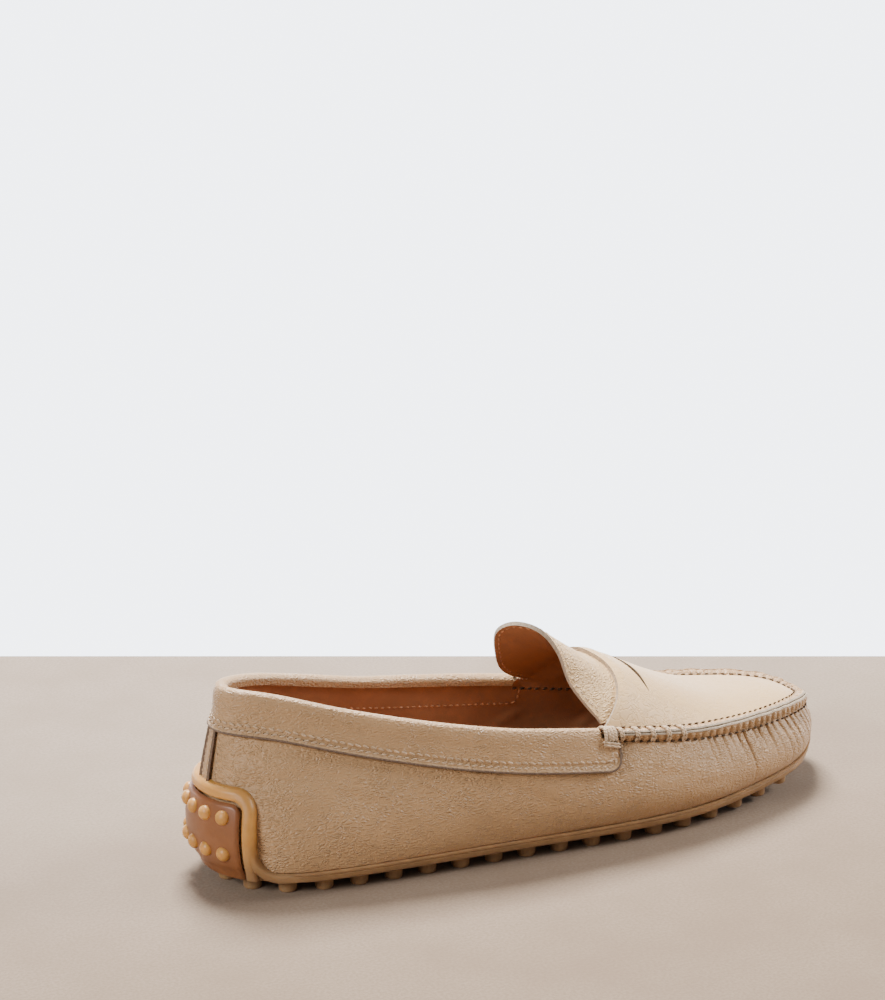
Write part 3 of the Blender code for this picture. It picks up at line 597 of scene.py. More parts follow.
def along_profile(profile, shares):
    """The columns of a table of steps, each read at shares of the way through it."""
    steps = np.array(profile)
    return np.moveaxis(at_shares(steps, np.linspace(0, 1, len(steps)), shares), -1, 0)


def even_places(points, normals, pitch):
    """Centres, headings and normals at an even pitch along a line."""
    lengths = lengths_along(points)
    count = max(int(lengths[-1] / pitch), 1)
    at = (np.arange(count) + 0.5) * lengths[-1] / count
    step = 2e-4
    heading = at_shares(points, lengths, at + step) - at_shares(points, lengths, at - step)
    return at_shares(points, lengths, at), unit(heading), unit(at_shares(normals, lengths, at))


def stitch_parts(points, normals, pitch, length, radius, tilt=0.0, lift=0.3):
    """Stitches laid along a line: each a flat bead of thread, turned a little about the normal."""
    pattern, faces = STITCH
    local = pattern * np.array([length / 2, radius, 0.75 * radius])
    parts = []
    for centre, heading, normal in zip(*even_places(points, normals, pitch)):
        heading = unit(heading - normal * np.dot(heading, normal))
        side = np.cross(normal, heading)
        turned = heading * math.cos(tilt) + side * math.sin(tilt)
        axes = np.stack([turned, np.cross(normal, turned), normal])
        parts.append((centre + normal * radius * lift + local @ axes, faces))
    return parts


STITCH = template("uv_sphere", segments=8, ring_count=5, radius=1.0)


# Materials


class Shader:
    """A Principled material under construction; every number that stays even sits on its socket."""

    def __init__(self, name, color, roughness, **even):
        self.material = bpy.data.materials.new(name)
        self.material.use_nodes = True
        self.tree = self.material.node_tree
        self.main = self.tree.nodes["Principled BSDF"]
        self.set(self.main, "Base Color", (*color, 1.0))
        self.set(self.main, "Roughness", roughness)
        for key, value in even.items():
            self.set(self.main, key.replace("_", " "), value)
        self.material.diffuse_color = (*color, 1.0)
        self.coordinates = self.tree.nodes.new("ShaderNodeTexCoord").outputs["Object"]

    def set(self, node, socket, value):
        if isinstance(value, bpy.types.NodeSocket):
            self.tree.links.new(value, node.inputs[socket])
        else:
            node.inputs[socket].default_value = value

    def node(self, kind, output, settings=(), **sockets):
        node = self.tree.nodes.new("ShaderNode" + kind)
        for key, value in dict(settings).items():
            setattr(node, key, value)
        for key, value in sockets.items():
            numbered = key[0] == "i" and key[1:].isdigit()
            self.set(node, int(key[1:]) if numbered else key.replace("_", " "), value)
        return node.outputs[output]

    def stretched(self, scale, turn=(0.0, 0.0, 0.0)):
        return self.node("Mapping", "Vector", Vector=self.coordinates, Scale=scale, Rotation=turn)

    def noise(self, scale, detail=2.0, roughness=0.5, distortion=0.0, vector=None):
        return self.node(
            "TexNoise",
            "Fac",
            Vector=vector or self.coordinates,
            Scale=scale,
            Detail=detail,
            Roughness=roughness,
            Distortion=distortion,
        )

    def colours(self, scale):
        return self.node("TexNoise", "Color", Vector=self.coordinates, Scale=scale, Detail=2.0)

    def math(self, operation, first, second=0.0):
        return self.node("Math", "Value", {"operation": operation}, i0=first, i1=second)

    def ramp(self, value, low, high, to_low=0.0, to_high=1.0):
        return self.node(
            "MapRange",
            "Result",
            {"interpolation_type": "SMOOTHSTEP"},
            Value=value,
            From_Min=low,
            From_Max=high,
            To_Min=to_low,
            To_Max=to_high,
        )

    def mix(self, factor, first, second, blend="MIX"):
        first, second = ((*c, 1.0) if isinstance(c, tuple) else c for c in (first, second))
        return self.node("Mix", 2, {"data_type": "RGBA", "blend_type": blend}, i0=factor, i6=first, i7=second)

    def bump(self, height, distance, strength=1.0, normal=None):
        base = {"Normal": normal} if normal else {}
        return self.node("Bump", "Normal", Height=height, Distance=distance, Strength=strength, **base)

    def done(self, color=None, roughness=None, normal=None):
        for socket, value in (("Base Color", color), ("Roughness", roughness), ("Normal", normal)):
            if value is not None:
                self.set(self.main, socket, value)
        return self.material


def tinted(color, factor):
    """A colour made lighter or darker."""
    return tuple(min(max(c * factor, 0.0), 1.0) for c in color)


def grained_leather(name, color, grain, fine, gloss=0.5):
    """Full-grain leather: worm-like wrinkles over a fine pore, with painted shade darkening the valleys."""
    sheen = {"Sheen_Weight": 0.08, "Sheen_Roughness": 0.5}
    shader = Shader(name, color, gloss, Specular_IOR_Level=0.55, **sheen)
    flow = shader.stretched((0.60, 0.60, 1.25), (0.10, 0.16, 0.0))
    sway = shader.noise(70.0, 2.0, 0.5)
    wrinkle = shader.noise(760.0, 2.0, 0.5, 0.8, vector=flow)
    ridge = shader.math("ABSOLUTE", shader.math("SUBTRACT", wrinkle, 0.5))
    bend = shader.node("VectorMath", "Vector", {"operation": "SCALE"}, i0=shader.colours(260.0), Scale=0.0026)
    bent = shader.node("VectorMath", "Vector", {"operation": "ADD"}, i0=flow, i1=bend)
    cells = shader.node("TexVoronoi", "Distance", {"feature": "DISTANCE_TO_EDGE"}, Vector=bent, Scale=840.0)
    worm, pebble = shader.ramp(ridge, 0.0, 0.14, 0.75, 1.0), shader.ramp(cells, 0.0, 0.40)
    valley = shader.math("MULTIPLY", worm, pebble)
    pore = shader.noise(2600.0, 2.0, 0.6)
    patch = shader.ramp(sway, 0.30, 0.66, 0.55, 1.0)
    height = shader.math("MULTIPLY", valley, patch)
    cloud = shader.ramp(shader.noise(38.0, 3.0), 0.3, 0.7)
    tone = shader.mix(cloud, tinted(color, 0.94), tinted(color, 1.05))
    # The grain's valleys are darkened in the colour: painted shade, not the leather's own tone.
    valley_shaded = shader.mix(shader.ramp(valley, 0.0, 1.0, 0.86, 1.0), tinted(color, 0.55), tone)
    mottled = shader.mix(shader.ramp(pore, 0.35, 0.6, 0.88, 1.0), tinted(color, 0.85), valley_shaded)
    rough = shader.ramp(height, 0.0, 1.0, gloss + 0.12, gloss - 0.04)
    normal = shader.bump(height, grain, 1.0)
    normal = shader.bump(pore, fine, 0.6, normal)
    return shader.done(mottled, rough, normal)


def smooth_leather(name, color, gloss=0.45):
    """The apron's leather: faint pores, soft cloudy tone, painted shade along its wrinkles and a silky sheen.
    """
    shader = Shader(name, color, gloss, Specular_IOR_Level=0.42, Sheen_Weight=0.15, Sheen_Roughness=0.45)
    cloud = shader.noise(26.0, 3.0, 0.55)
    pore = shader.noise(1500.0, 3.0, 0.6, 0.4)
    fold = shader.math("SUBTRACT", shader.noise(360.0, 3.0, 0.5, 0.8), 0.5)
    wrinkle = shader.ramp(shader.math("ABSOLUTE", fold), 0.0, 0.07)
    soft = shader.mix(shader.ramp(cloud, 0.3, 0.72), tinted(color, 0.95), tinted(color, 1.04))
    # Darker along the wrinkle lines: painted shade in the creases.
    toned = shader.mix(shader.ramp(wrinkle, 0.0, 1.0, 0.88, 1.0), tinted(color, 0.88), soft)
    normal = shader.bump(wrinkle, 0.00012, 0.8)
    normal = shader.bump(pore, 0.00004, 0.5, normal)
    return shader.done(toned, shader.ramp(pore, 0.3, 0.7, gloss - 0.04, gloss + 0.08), normal)


def lining_leather(name, color):
    """Vegetable-tanned lining: smooth, with fine hair pores and darker handling marks."""
    shader = Shader(name, color, 0.55, Specular_IOR_Level=0.35)
    cloud = shader.noise(45.0, 4.0, 0.6)
    pore = shader.noise(1700.0, 2.0, 0.65)
    toned = shader.mix(shader.ramp(cloud, 0.28, 0.72), tinted(color, 0.82), tinted(color, 1.1))
    speckled = shader.mix(shader.ramp(pore, 0.3, 0.55, 0.75, 1.0), tinted(color, 0.7), toned)
    return shader.done(speckled, shader.ramp(cloud, 0.3, 0.7, 0.5, 0.62), shader.bump(pore, 0.00005, 0.6))


def painted_edge(name, color):
    """Cut leather edge: fibrous, with a thin dull paint."""
    shader = Shader(name, color, 0.7, Specular_IOR_Level=0.3)
    fibre = shader.noise(1300.0, 4.0, 0.7, 0.5)
    toned = shader.mix(shader.ramp(fibre, 0.3, 0.7), tinted(color, 0.7), tinted(color, 1.2))
    return shader.done(toned, 0.7, shader.bump(fibre, 0.0001, 0.8))


def waxed_thread(name, color):
    shader = Shader(name, color, 0.5, Specular_IOR_Level=0.4, Sheen_Weight=0.2)
    bands = {"wave_type": "BANDS", "bands_direction": "DIAGONAL"}
    twist = shader.node("TexWave", "Fac", bands, Vector=shader.coordinates, Scale=420.0, Distortion=0.6)
    toned = shader.mix(shader.ramp(twist, 0.2, 0.8), tinted(color, 0.8), tinted(color, 1.1))
    return shader.done(toned, 0.5, shader.bump(twist, 0.00012, 0.7))


def gum_rubber(name, color, shade_share, haze=0.25, gloss=0.4, foot=None):
    """Crepe-like gum rubber: cloudy, a little see-through, with a bloom of dust."""
    glow = {"Subsurface_Weight": haze, "Subsurface_Radius": (0.9, 0.45, 0.15), "Subsurface_Scale": 0.0022}
    coat = {"Specular_IOR_Level": 0.42, "Coat_Weight": 0.08, "Coat_Roughness": 0.35}
    shader = Shader(name, color, gloss, **glow, **coat)
    cloud = shader.noise(120.0, 4.0, 0.6)
    fleck = shader.noise(1900.0, 2.0, 0.6)
    toned = shader.mix(shader.ramp(cloud, 0.3, 0.7), tinted(color, shade_share), color)
    dusted = shader.mix(shader.ramp(fleck, 0.4, 0.66, 1.0, 0.86), tinted(color, 1.12), toned)
    if foot:
        height = shader.node("SeparateXYZ", "Z", Vector=shader.coordinates)
        dusted = shader.mix(shader.ramp(height, 0.0080, 0.0240), foot, dusted)
    rough = shader.ramp(cloud, 0.3, 0.7, gloss + 0.1, gloss - 0.03)
    normal = shader.bump(cloud, 0.00012, 0.5)
    return shader.done(dusted, rough, shader.bump(fleck, 0.00004, 0.5, normal))


class Finishes:
    """The shoe's materials, made once from the panel's colours."""

    made = {}

    @classmethod
    def get(cls, name):
        if name not in cls.made:
            chosen = bpy.context.scene.moccasin_colours
            leather, apron, lining, edge, thread, amber, brown, base = (
                tuple(getattr(chosen, key)) for key in MoccasinColours.__annotations__
            )
            maker, *settings = {
                "wall": (grained_leather, "wall_leather", leather, 0.00038, 0.00002, 0.40),
                "collar": (grained_leather, "collar_leather", leather, 0.00032, 0.00002, 0.40),
                "tongue": (grained_leather, "tongue_leather", apron, 0.00034, 0.00002, 0.42),
                "apron": (smooth_leather, "apron_leather", apron),
                "lining": (lining_leather, "tan_lining_leather", lining),
                "edge": (painted_edge, "cut_edge", edge),
                "raw_edge": (painted_edge, "raw_edge", (0.40, 0.31, 0.22)),
                "thread": (waxed_thread, "waxed_thread", thread),
                "tan_thread": (waxed_thread, "tan_thread", (0.50, 0.23, 0.10)),
                # Near-black finish: painted shade for the needle holes, the gap in the seam's crest and the
                # seam's inside stitches.
                "hole": (painted_edge, "needle_hole", tinted(leather, 0.16)),
                "amber": (gum_rubber, "amber_gum", amber, 0.8, 0.25, 0.4, base),
                "dome": (gum_rubber, "dome_gum", amber, 0.8),
                "brown": (gum_rubber, "brown_gum", brown, 0.85, 0.12),
                "base": (gum_rubber, "sole_gum", base, 0.8, 0.18, 0.45),
            }[name]
            cls.made[name] = maker(*settings)
        return cls.made[name]


# The upper


def pleats(row, depth):
    """Gathers of the wall under the toe seam: one soft valley for each hand stitch."""
    sizes = bpy.context.scene.moccasin_sizes
    front = smooth_step(np.minimum(row, ROUND - row), 6.5, 7.9)
    place = along_top(row) / sizes.pleat_pitch
    below = np.maximum(depth - CREST_RISE - SEAM_OUTER, 0.0)
    lean = np.where(row < TOE, -1.0, 1.0)
    relief = 0.0
    for side in (0, 1):
        number = np.floor(place) + side
        drift = (scatter(number) - 0.5) * 0.40
        slant = (0.35 + 0.5 * scatter(number, 3.0)) * lean * below / 0.015
        reach = (9.0 + 14.0 * scatter(number, 1.0)) * MM
        fall = np.clip(1 - below / reach, 0.0, 1.0) ** 1.2
        width = 0.12 + 0.08 * below / 0.012
        away = (place - number - drift - slant) / width
        relief = relief - (0.5 + 0.5 * scatter(number, 2.0)) * fall * bell(away)
    return sizes.pleat_depth * front * relief


def creases(row, depth):
    """The folds of wear, each a trough with a low ridge along its upper side."""
    relief = 0.0
    for at, below, length, slant, width, deep in CREASES:
        along = (along_top(row) - along_top(at)) / MM
        down = depth / MM - below
        c, s = math.cos(math.radians(slant)), math.sin(math.radians(slant))
        run, away = along * c + down * s, -along * s + down * c
        away = away - 0.9 * np.sin(run / length * 2.0) * width
        fade = bell((run / (0.5 * length)) ** 2)
        trough = bell(away / width)
        ridge = 0.45 * bell((away + 2.2 * width) / (1.3 * width))
        relief = relief + deep * MM * fade * (ridge - trough)
    return relief


def unevenness(points):
    """The slow waves of leather that was stretched by hand."""
    x, y, z = (points[..., i] / MM for i in range(3))
    broad = np.sin(x / 9.0 + 0.8 * np.sin(z / 7.0)) * np.sin(z / 8.5 + y / 14.0)
    return MM * (0.16 * broad + 0.08 * np.sin(x / 4.1 + z / 3.7))


def wall_rows(count):
    """Row numbers once round, closer together where the wall is gathered."""
    rows = np.linspace(0.0, ROUND, 2001)
    weight = 1.0 + 2.2 * smooth_step(np.minimum(rows, ROUND - rows), 6.2, 7.0)
    metres = np.gradient(along_top(rows * 0.99999)) * weight
    total = np.concatenate([[0.0], np.cumsum(np.maximum(metres[1:], 1e-9))])
    return np.interp(np.linspace(0.0, total[-1], count + 1), total, rows)


def place_wall(u, v):
    rows = wall_rows(u.shape[1] - 1)
    limits = np.array([share_below_top(row, CREST_RISE) for row in rows])
    share = (1.0 - (1.0 - v) ** 1.15) * limits
    row = np.broadcast_to(rows, share.shape)
    points = wall(row, share)
    steps = np.linalg.norm(np.diff(points[::-1], axis=0), axis=-1)
    depth = np.concatenate([np.zeros((1, len(rows))), np.cumsum(steps, axis=0)])[::-1] + CREST_RISE
    tucked = smooth_step(share, 0.0, 0.05) * smooth_step(depth, CREST_RISE, CREST_RISE + SEAM_OUTER)
    relief = (pleats(row, depth) + creases(row, depth) + unevenness(points)) * tucked
    return points + wall_normal(row, share) * relief[..., None]


def place_apron(u, v):
    across = 2 * u - 1
    across = np.sign(across) * (1 - (1 - np.abs(across)) ** 1.15)
    row = strap_row(THROAT + (TOE - THROAT) * v, across)
    points = apron(row, across)
    inside = 1 - np.abs(across) ** 6
    step = v * APRON_STEPS
    roll = -0.9 * MM * bell(step / 2.2) - 0.3 * MM * bell((step - 7.0) / 3.0)
    roll = roll * (1 - across**4)
    relief = (0.7 * unevenness(points) + roll) * inside * smooth_step(1 - v, 0.0, 0.05)
    points[..., 2] += relief
    return points


def slit_cutter():
    """Crescent block that opens the slit across the strap."""
    middle = float(apron(strap_row(THROAT, 0.0), 0.0)[0]) + SLIT_SETBACK
    across = np.linspace(-0.5, 0.5, 33) * SLIT_LENGTH
    half = 0.85 * SLIT_WIDTH * (1 - (2 * across / SLIT_LENGTH) ** 2)
    outline = [(middle - h, y) for h, y in zip(half, across)]
    outline += [(middle + h, y) for h, y in zip(half[-2:0:-1], across[-2:0:-1])]
    size = len(outline)
    levels = (SEAM_HEIGHT, SEAM_HEIGHT + 2 * INSTEP_CROWN)
    points = np.array([(x, y, z) for z in levels for x, y in outline])
    faces = [(j, (j + 1) % size, size + (j + 1) % size, size + j) for j in range(size)]
    faces += [tuple(reversed(range(size))), tuple(range(size, 2 * size))]
    return joined("slit_blank", [(points, faces)], ("raw_edge",))


class MOCCASIN_OT_upper(bpy.types.Operator):
    """The wall and the apron with its strap, gathered at the toe and lined with tan leather"""

    bl_idname = "moccasin.upper"
    bl_label = "Upper"

    def execute(self, context):
        side = cloth_grid("upper_wall", 1060, 44, place_wall, ("wall", "lining"), -SIDE, wrap=True)
        thicken(side, WALL, inner=1)
        finish_piece(side, "beige_leather", "upper")
        finishes = ("apron", "lining", "raw_edge")
        plug = cloth_grid("upper_apron", 110, APRON_STEPS, place_apron, finishes, UP, wrap=True)
        thicken(plug, WALL, inner=1, rim=2)
        cutter = slit_cutter()
        exact = {"operation": "DIFFERENCE", "solver": "EXACT", "material_mode": "TRANSFER"}
        apply_modifier(plug, "BOOLEAN", object=cutter, **exact)
        bpy.data.objects.remove(cutter)
        finish_piece(plug, "beige_leather", "upper")
        return {"FINISHED"}


# The collar


def outer_offset(depth, band):
    """How far out the collar's outer leg lies: padded at the roll, drawn in along the stitches."""
    above = (band - depth) / MM
    pad = 0.55 * bell((depth / MM - 3.6) / 3.4)
    drawn = 0.28 * bell((above - 2.5) / 1.5)
    lip = 0.38 * bell(above / 0.9)
    return GAP + COLLAR_LEATHER + MM * (0.15 + pad - drawn + lip)


def collar_outline(row, shares):
    """Depths and offsets of the collar from its lower edge over the roll to its inner end."""
    band = collar_band(row)
    inner = -WALL - GAP - COLLAR_LEATHER
    outer = float(outer_offset(np.array(0.0012), band))
    centre, half = (outer + inner) / 2, (outer - inner) / 2
    start, leg_end, bend_end = 1.6 * MM, 0.56, 0.86
    depth = band + (start - band) * np.clip(shares / leg_end, 0, 1)
    offset = outer_offset(depth, band)
    bend = np.clip((shares - leg_end) / (bend_end - leg_end), 0, 1) * math.pi
    depth = np.where(shares > leg_end, start * (1 - np.sin(bend)), depth)
    offset = np.where(shares > leg_end, centre + half * np.cos(bend), offset)
    drop = np.clip((shares - bend_end) / (1 - bend_end), 0, 1)
    turned = start + (COLLAR_TURN_IN + 0.2 * MM - start) * drop
    return np.where(shares > bend_end, turned, depth), offset


def place_collar(u, v):
    rows = np.linspace(-COLLAR_END, COLLAR_END, u.shape[1])
    points = np.stack([skin(row, *collar_outline(row, v[:, 0])) for row in rows], axis=1)
    wave = 0.6 * unevenness(points) * smooth_step(v, 0.0, 0.1) * (v < 0.8)
    normal = unit(np.cross(np.gradient(points, axis=1), np.gradient(points, axis=0)))
    return points + normal * wave[..., None]


def place_tab(side):
    """The collar's end that runs past the throat, on the lateral (1) or medial side (-1)."""

    def column(row, shares):
        band = collar_band(row)
        depth = band + (COLLAR_TAB_DEPTH - band) * shares
        return skin(side * row, depth, outer_offset(depth, band))

    def place(u, v):
        rows = np.linspace(COLLAR_END - 0.012, TAB_END - 0.0004, u.shape[1])
        return np.stack([column(row, v[:, 0]) for row in rows], axis=1)

    return place


def rounded_band_line(above, inner=False):
    """The line a distance inside the collar's edge, from one front corner round to the other."""
    end_depth = COLLAR_TAB_DEPTH + 1.6 * MM
    half = []
    turn = row_ahead(THROAT, COLLAR_TAB - above)
    for row in np.linspace(0.0, turn, 240):
        end = abs(float(along_top(turn) - along_top(row)))
        corner = max(COLLAR_CORNER - above, 0.0008)
        half.append((row, band_height(row) - above - rounding(corner, end)))
    half += [(turn, d) for d in np.linspace(half[-1][1], end_depth, 12)[1:]]
    places = [(-row, depth) for row, depth in reversed(half[1:])] + half
    rows, depths = np.array(places).T
    shares = np.array([share_below_top(row, depth) for row, depth in places])
    offsets = np.full(len(rows), -WALL - 0.12 * MM) if inner else outer_offset(depths, depths + above)
    normals = wall_normal(rows, shares)
    return wall(rows, shares) + normals * offsets[:, None], -normals if inner else normals


class MOCCASIN_OT_collar(bpy.types.Operator):
    """The band turned over the top line, its two front tabs and its double row of stitches"""

    bl_idname = "moccasin.collar"
    bl_label = "Collar"

    def execute(self, context):
        pitch = context.scene.moccasin_sizes.stitch_pitch
        finishes = ("collar", "edge")
        band = cloth_grid("collar_band", 420, 50, place_collar, finishes, UP)
        thicken(band, COLLAR_LEATHER, rim=1)
        finish_piece(band, "beige_leather", "collar", degrees=55)
        for name, side in (("collar_tab_lateral", 1), ("collar_tab_medial", -1)):
            tab = cloth_grid(name, 36, 26, place_tab(side), finishes, -side * SIDE)
            thicken(tab, COLLAR_LEATHER, rim=1)
            finish_piece(tab, "beige_leather", degrees=55)
        parts, hole_shade_marks = [], []
        for above, tilt in COLLAR_STITCH_ROWS:
            points, normals = rounded_band_line(above)
            parts += stitch_parts(points, normals, pitch, *COLLAR_STITCH, tilt, 0.2)
            # Between the stitches, dark marks of painted shade stand for the needle holes.
            numbers = np.arange(len(points))
            half_stitch = 0.5 * len(points) / max(lengths_along(points)[-1] / pitch, 1)
            moved = at_shares(points, numbers, np.clip(numbers + half_stitch, 0, len(points) - 1))
            hole_shade_marks += stitch_parts(moved, normals, pitch, *COLLAR_HOLE_SHADE, tilt, 0.0)
        small_parts("collar_stitches", parts, "thread")
        small_parts("collar_needle_hole_shade", hole_shade_marks, "hole")
        # A dark cord along the collar's lower edge stands for its painted edge and for the painted shadow
        # under the band's lip.
        points, normals = rounded_band_line(0.0)
        small_parts("collar_edge_paint_and_shadow", [tube(points - normals * 0.3 * MM, EDGE_PAINT_AND_SHADOW, 6)], "edge")
        points, normals = rounded_band_line(COLLAR_INNER_INSET, inner=True)
        inside = stitch_parts(points, normals, pitch, *COLLAR_INNER_STITCH, 0.0, 0.0)
        small_parts("collar_stitches_inside", inside, "tan_thread", "tan_lining")
        return {"FINISHED"}


# The tongue


TONGUE_CREASES = (
    # length share, slope, width, depth in mm
    (0.26, 0.20, 0.030, 0.50),
    (0.38, 0.28, 0.036, 0.40),
    (0.52, 0.34, 0.030, 0.25),
)


def tongue_points(across, length):
    """The tongue's outer face: under the strap at length -1, its rear edge 0, the rim at 1."""
    inner_across = TONGUE_SPAN * across
    overlap = TONGUE_UNDERLAP / (LAST_LENGTH * 0.15)
    row = strap_row(THROAT, inner_across) + 0.02 + overlap * np.maximum(0.0, -length)
    start = apron(row, inner_across) - apron_normal(row, inner_across) * (WALL + 2 * GAP)
    knots, backs, rises = np.array(TONGUE_RIM).T
    reach = np.maximum(length, 0.0)
    start[..., 0] -= TONGUE_REACH * through(knots, backs, across) * reach
    start[..., 2] += TONGUE_RISE * through(knots, rises, across) * reach**1.1
    return start


def tongue_surface(across, length):
    """The tongue's outer face, creased where it bends out of the lateral corner."""
    points = tongue_points(across, length)
    relief = 0.4 * unevenness(points)
    for at, slope, width, deep in TONGUE_CREASES:
        away = (length - at - slope * (across + 0.72)) / width
        relief = relief - deep * MM * bell(away) * bell(((across + 0.66) / 0.17) ** 2)
    return points + relief[..., None] * UP


def place_tongue(u, v):
    return tongue_surface(2 * u - 1, 2 * v - 1)


def tongue_line(inset):
    """The line a distance inside the tongue's rim."""
    rim_places = np.linspace(-0.985, 0.985, 400)
    rim = tongue_points(rim_places, np.ones_like(rim_places))
    lengths = np.linspace(0.0, 1.0, 70)
    kept = []
    for across in np.linspace(-0.93, 0.93, 220):
        column = tongue_points(np.full_like(lengths, across), lengths)
        gap = np.min(np.linalg.norm(column[:, None] - rim[None], axis=2), axis=1)
        beyond = np.nonzero(gap > inset)[0][-1] if gap.max() > inset else len(gap)
        if beyond + 1 >= len(gap):
            continue
        part = (gap[beyond] - inset) / (gap[beyond] - gap[beyond + 1])
        kept.append((across, lengths[beyond] + part * (lengths[beyond + 1] - lengths[beyond])))
    across, length = np.array(kept).T
    step = 2e-3
    along = tongue_points(across + step, length) - tongue_points(across - step, length)
    back = tongue_points(across, length + step) - tongue_points(across, length - step)
    normals = unit(np.cross(along, back))
    return tongue_surface(across, length), normals * np.sign(np.mean(normals[:, 2]))


class MOCCASIN_OT_tongue(bpy.types.Operator):
    """The scoop-shaped tongue, lined with tan leather and stitched round its rim"""

    bl_idname = "moccasin.tongue"
    bl_label = "Tongue"

    def execute(self, context):
        pitch = context.scene.moccasin_sizes.stitch_pitch
        finishes = ("tongue", "lining", "raw_edge")
        scoop = cloth_grid("tongue_scoop", 110, 110, place_tongue, finishes, UP)
        thicken(scoop, TONGUE_LEATHER, inner=1, rim=2)
        finish_piece(scoop, "beige_leather", "tongue", degrees=50)
        points, normals = tongue_line(TONGUE_STITCH_INSET)
        outer = stitch_parts(points, normals, pitch, *TONGUE_STITCH, 0.0, -0.1)
        under = points - normals * TONGUE_LEATHER
        inner = stitch_parts(under, -normals, pitch, *TONGUE_INNER_STITCH, 0.0, -0.1)
        small_parts("tongue_stitches", outer, "thread")
        small_parts("tongue_stitches_inside", inner, "tan_thread", "tan_lining")
        return {"FINISHED"}


# The raised seam


def outer_shell():
    """The upper's plain outer face, for the seam that sits astride its bend."""
    points, faces = [], []

    def add(block):
        start, (tall, wide) = len(points), block.shape[:2]
        points.extend(block.reshape(-1, 3).tolist())
        for i in range(tall - 1):
            for j in range(wide - 1):
                a = start + i * wide + j
                faces.append((a, a + 1, a + wide + 1, a + wide))

    rows = np.linspace(5.0, ROUND - 5.0, 241)
    limits = np.array([share_below_top(row, CREST_RISE) for row in rows])
    add(wall(rows[:, None], np.linspace(0.5, 1.0, 12)[None] * limits[:, None]))
    across = np.linspace(-1.0, 1.0, 61)
    rows = strap_row(np.linspace(THROAT, TOE, 121)[:, None], across[None])
    add(apron(rows, np.broadcast_to(across, rows.shape)))
    return BVHTree.FromPolygons(points, faces)


def seam_frame(row, shell):
    """Inner foot, chord to the outer foot, rise and height of the seam at a row."""
    middle = edge(row)
    along = unit(edge(row + SLOPE_STEP) - edge(row - SLOPE_STEP))
    outside = UP + outward(row)
    spot, normal, _, _ = shell.find_nearest(middle + unit(np.cross(UP, along)) * SEAM_INNER)
    normal = np.array(normal) * math.copysign(1.0, np.dot(normal, outside))
    inner_foot = np.array(spot) + normal * 0.3 * GAP
    chord = skin(row, CREST_RISE + SEAM_OUTER, 0.3 * GAP) - inner_foot
    rise = unit(np.cross(chord, along))
    rise = rise * math.copysign(1.0, np.dot(rise, outside))
    height = max(float(np.dot(middle - inner_foot, rise)), 0.0) + SEAM_RISE
    return inner_foot, chord, rise, height


SEAM_PROFILE = (
    # share of the chord, share of the height, how much a stitch draws it in
    (0.00, -0.10, 0.0),
    (0.01, 0.22, 0.4),
    (0.06, 0.50, 0.9),
    (0.13, 0.74, 1.0),
    (0.22, 0.90, 0.7),
    (0.29, 0.95, 0.3),
    (0.30, 1.12, 0.1),
    (0.44, 1.16, 0.0),
    (0.475, 1.10, 0.0),
    (0.49, 0.82, 0.0),
    (0.51, 0.82, 0.0),
    (0.525, 1.10, 0.0),
    (0.56, 1.15, 0.0),
    (0.69, 1.10, 0.1),
    (0.70, 0.95, 0.3),
    (0.79, 0.88, 0.8),
    (0.88, 0.70, 1.0),
    (0.95, 0.46, 0.9),
    (0.99, 0.20, 0.4),
    (1.00, -0.10, 0.0),
)


class Seam:
    """Frames of the raised seam, worked out once."""

    frames = None

    @classmethod
    def at(cls, row):
        if cls.frames is None:
            shell = outer_shell()
            rows = np.linspace(THROAT + SEAM_MARGIN, ROUND - THROAT - SEAM_MARGIN, 361)
            table = np.array([np.hstack(seam_frame(row, shell)) for row in rows])
            for _ in range(3):
                table[1:-1] = 0.25 * table[:-2] + 0.5 * table[1:-1] + 0.25 * table[2:]
            cls.frames = (rows, table)
        rows, table = cls.frames
        values = at_shares(table, rows, row)
        return values[..., 0:3], values[..., 3:6], unit(values[..., 6:9]), values[..., 9]


def seam_point(row, across, height, lift=0.0):
    """Points over the seam, from shares of its chord and of its height."""
    inner_foot, chord, rise, tall = Seam.at(row)
    return inner_foot + chord * across[..., None] + rise * (tall * height + lift)[..., None]


def place_seam(u, v):
    sizes = bpy.context.scene.moccasin_sizes
    rows = THROAT + SEAM_MARGIN + (ROUND - 2 * (THROAT + SEAM_MARGIN)) * u
    across, height, draw = along_profile(SEAM_PROFILE, v)
    distance = along_top(rows)
    beat = 0.5 + 0.5 * np.cos(2 * math.pi * distance / sizes.seam_pitch)
    pinch = draw * beat**2 * 0.42
    ripple = 1.0 + 0.07 * np.sin(distance / 0.0016 + 2 * np.sin(distance / 0.007))
    across = across + (0.5 - across) * pinch * 0.7
    height = np.where(height > 0.15, height * ripple, height) - pinch * 0.5
    ends = smooth_step(u, 0.0, 0.006) * smooth_step(1 - u, 0.0, 0.006)
    height = np.where(height > 0, height * (0.35 + 0.65 * ends), height)
    return seam_point(rows, across, height)


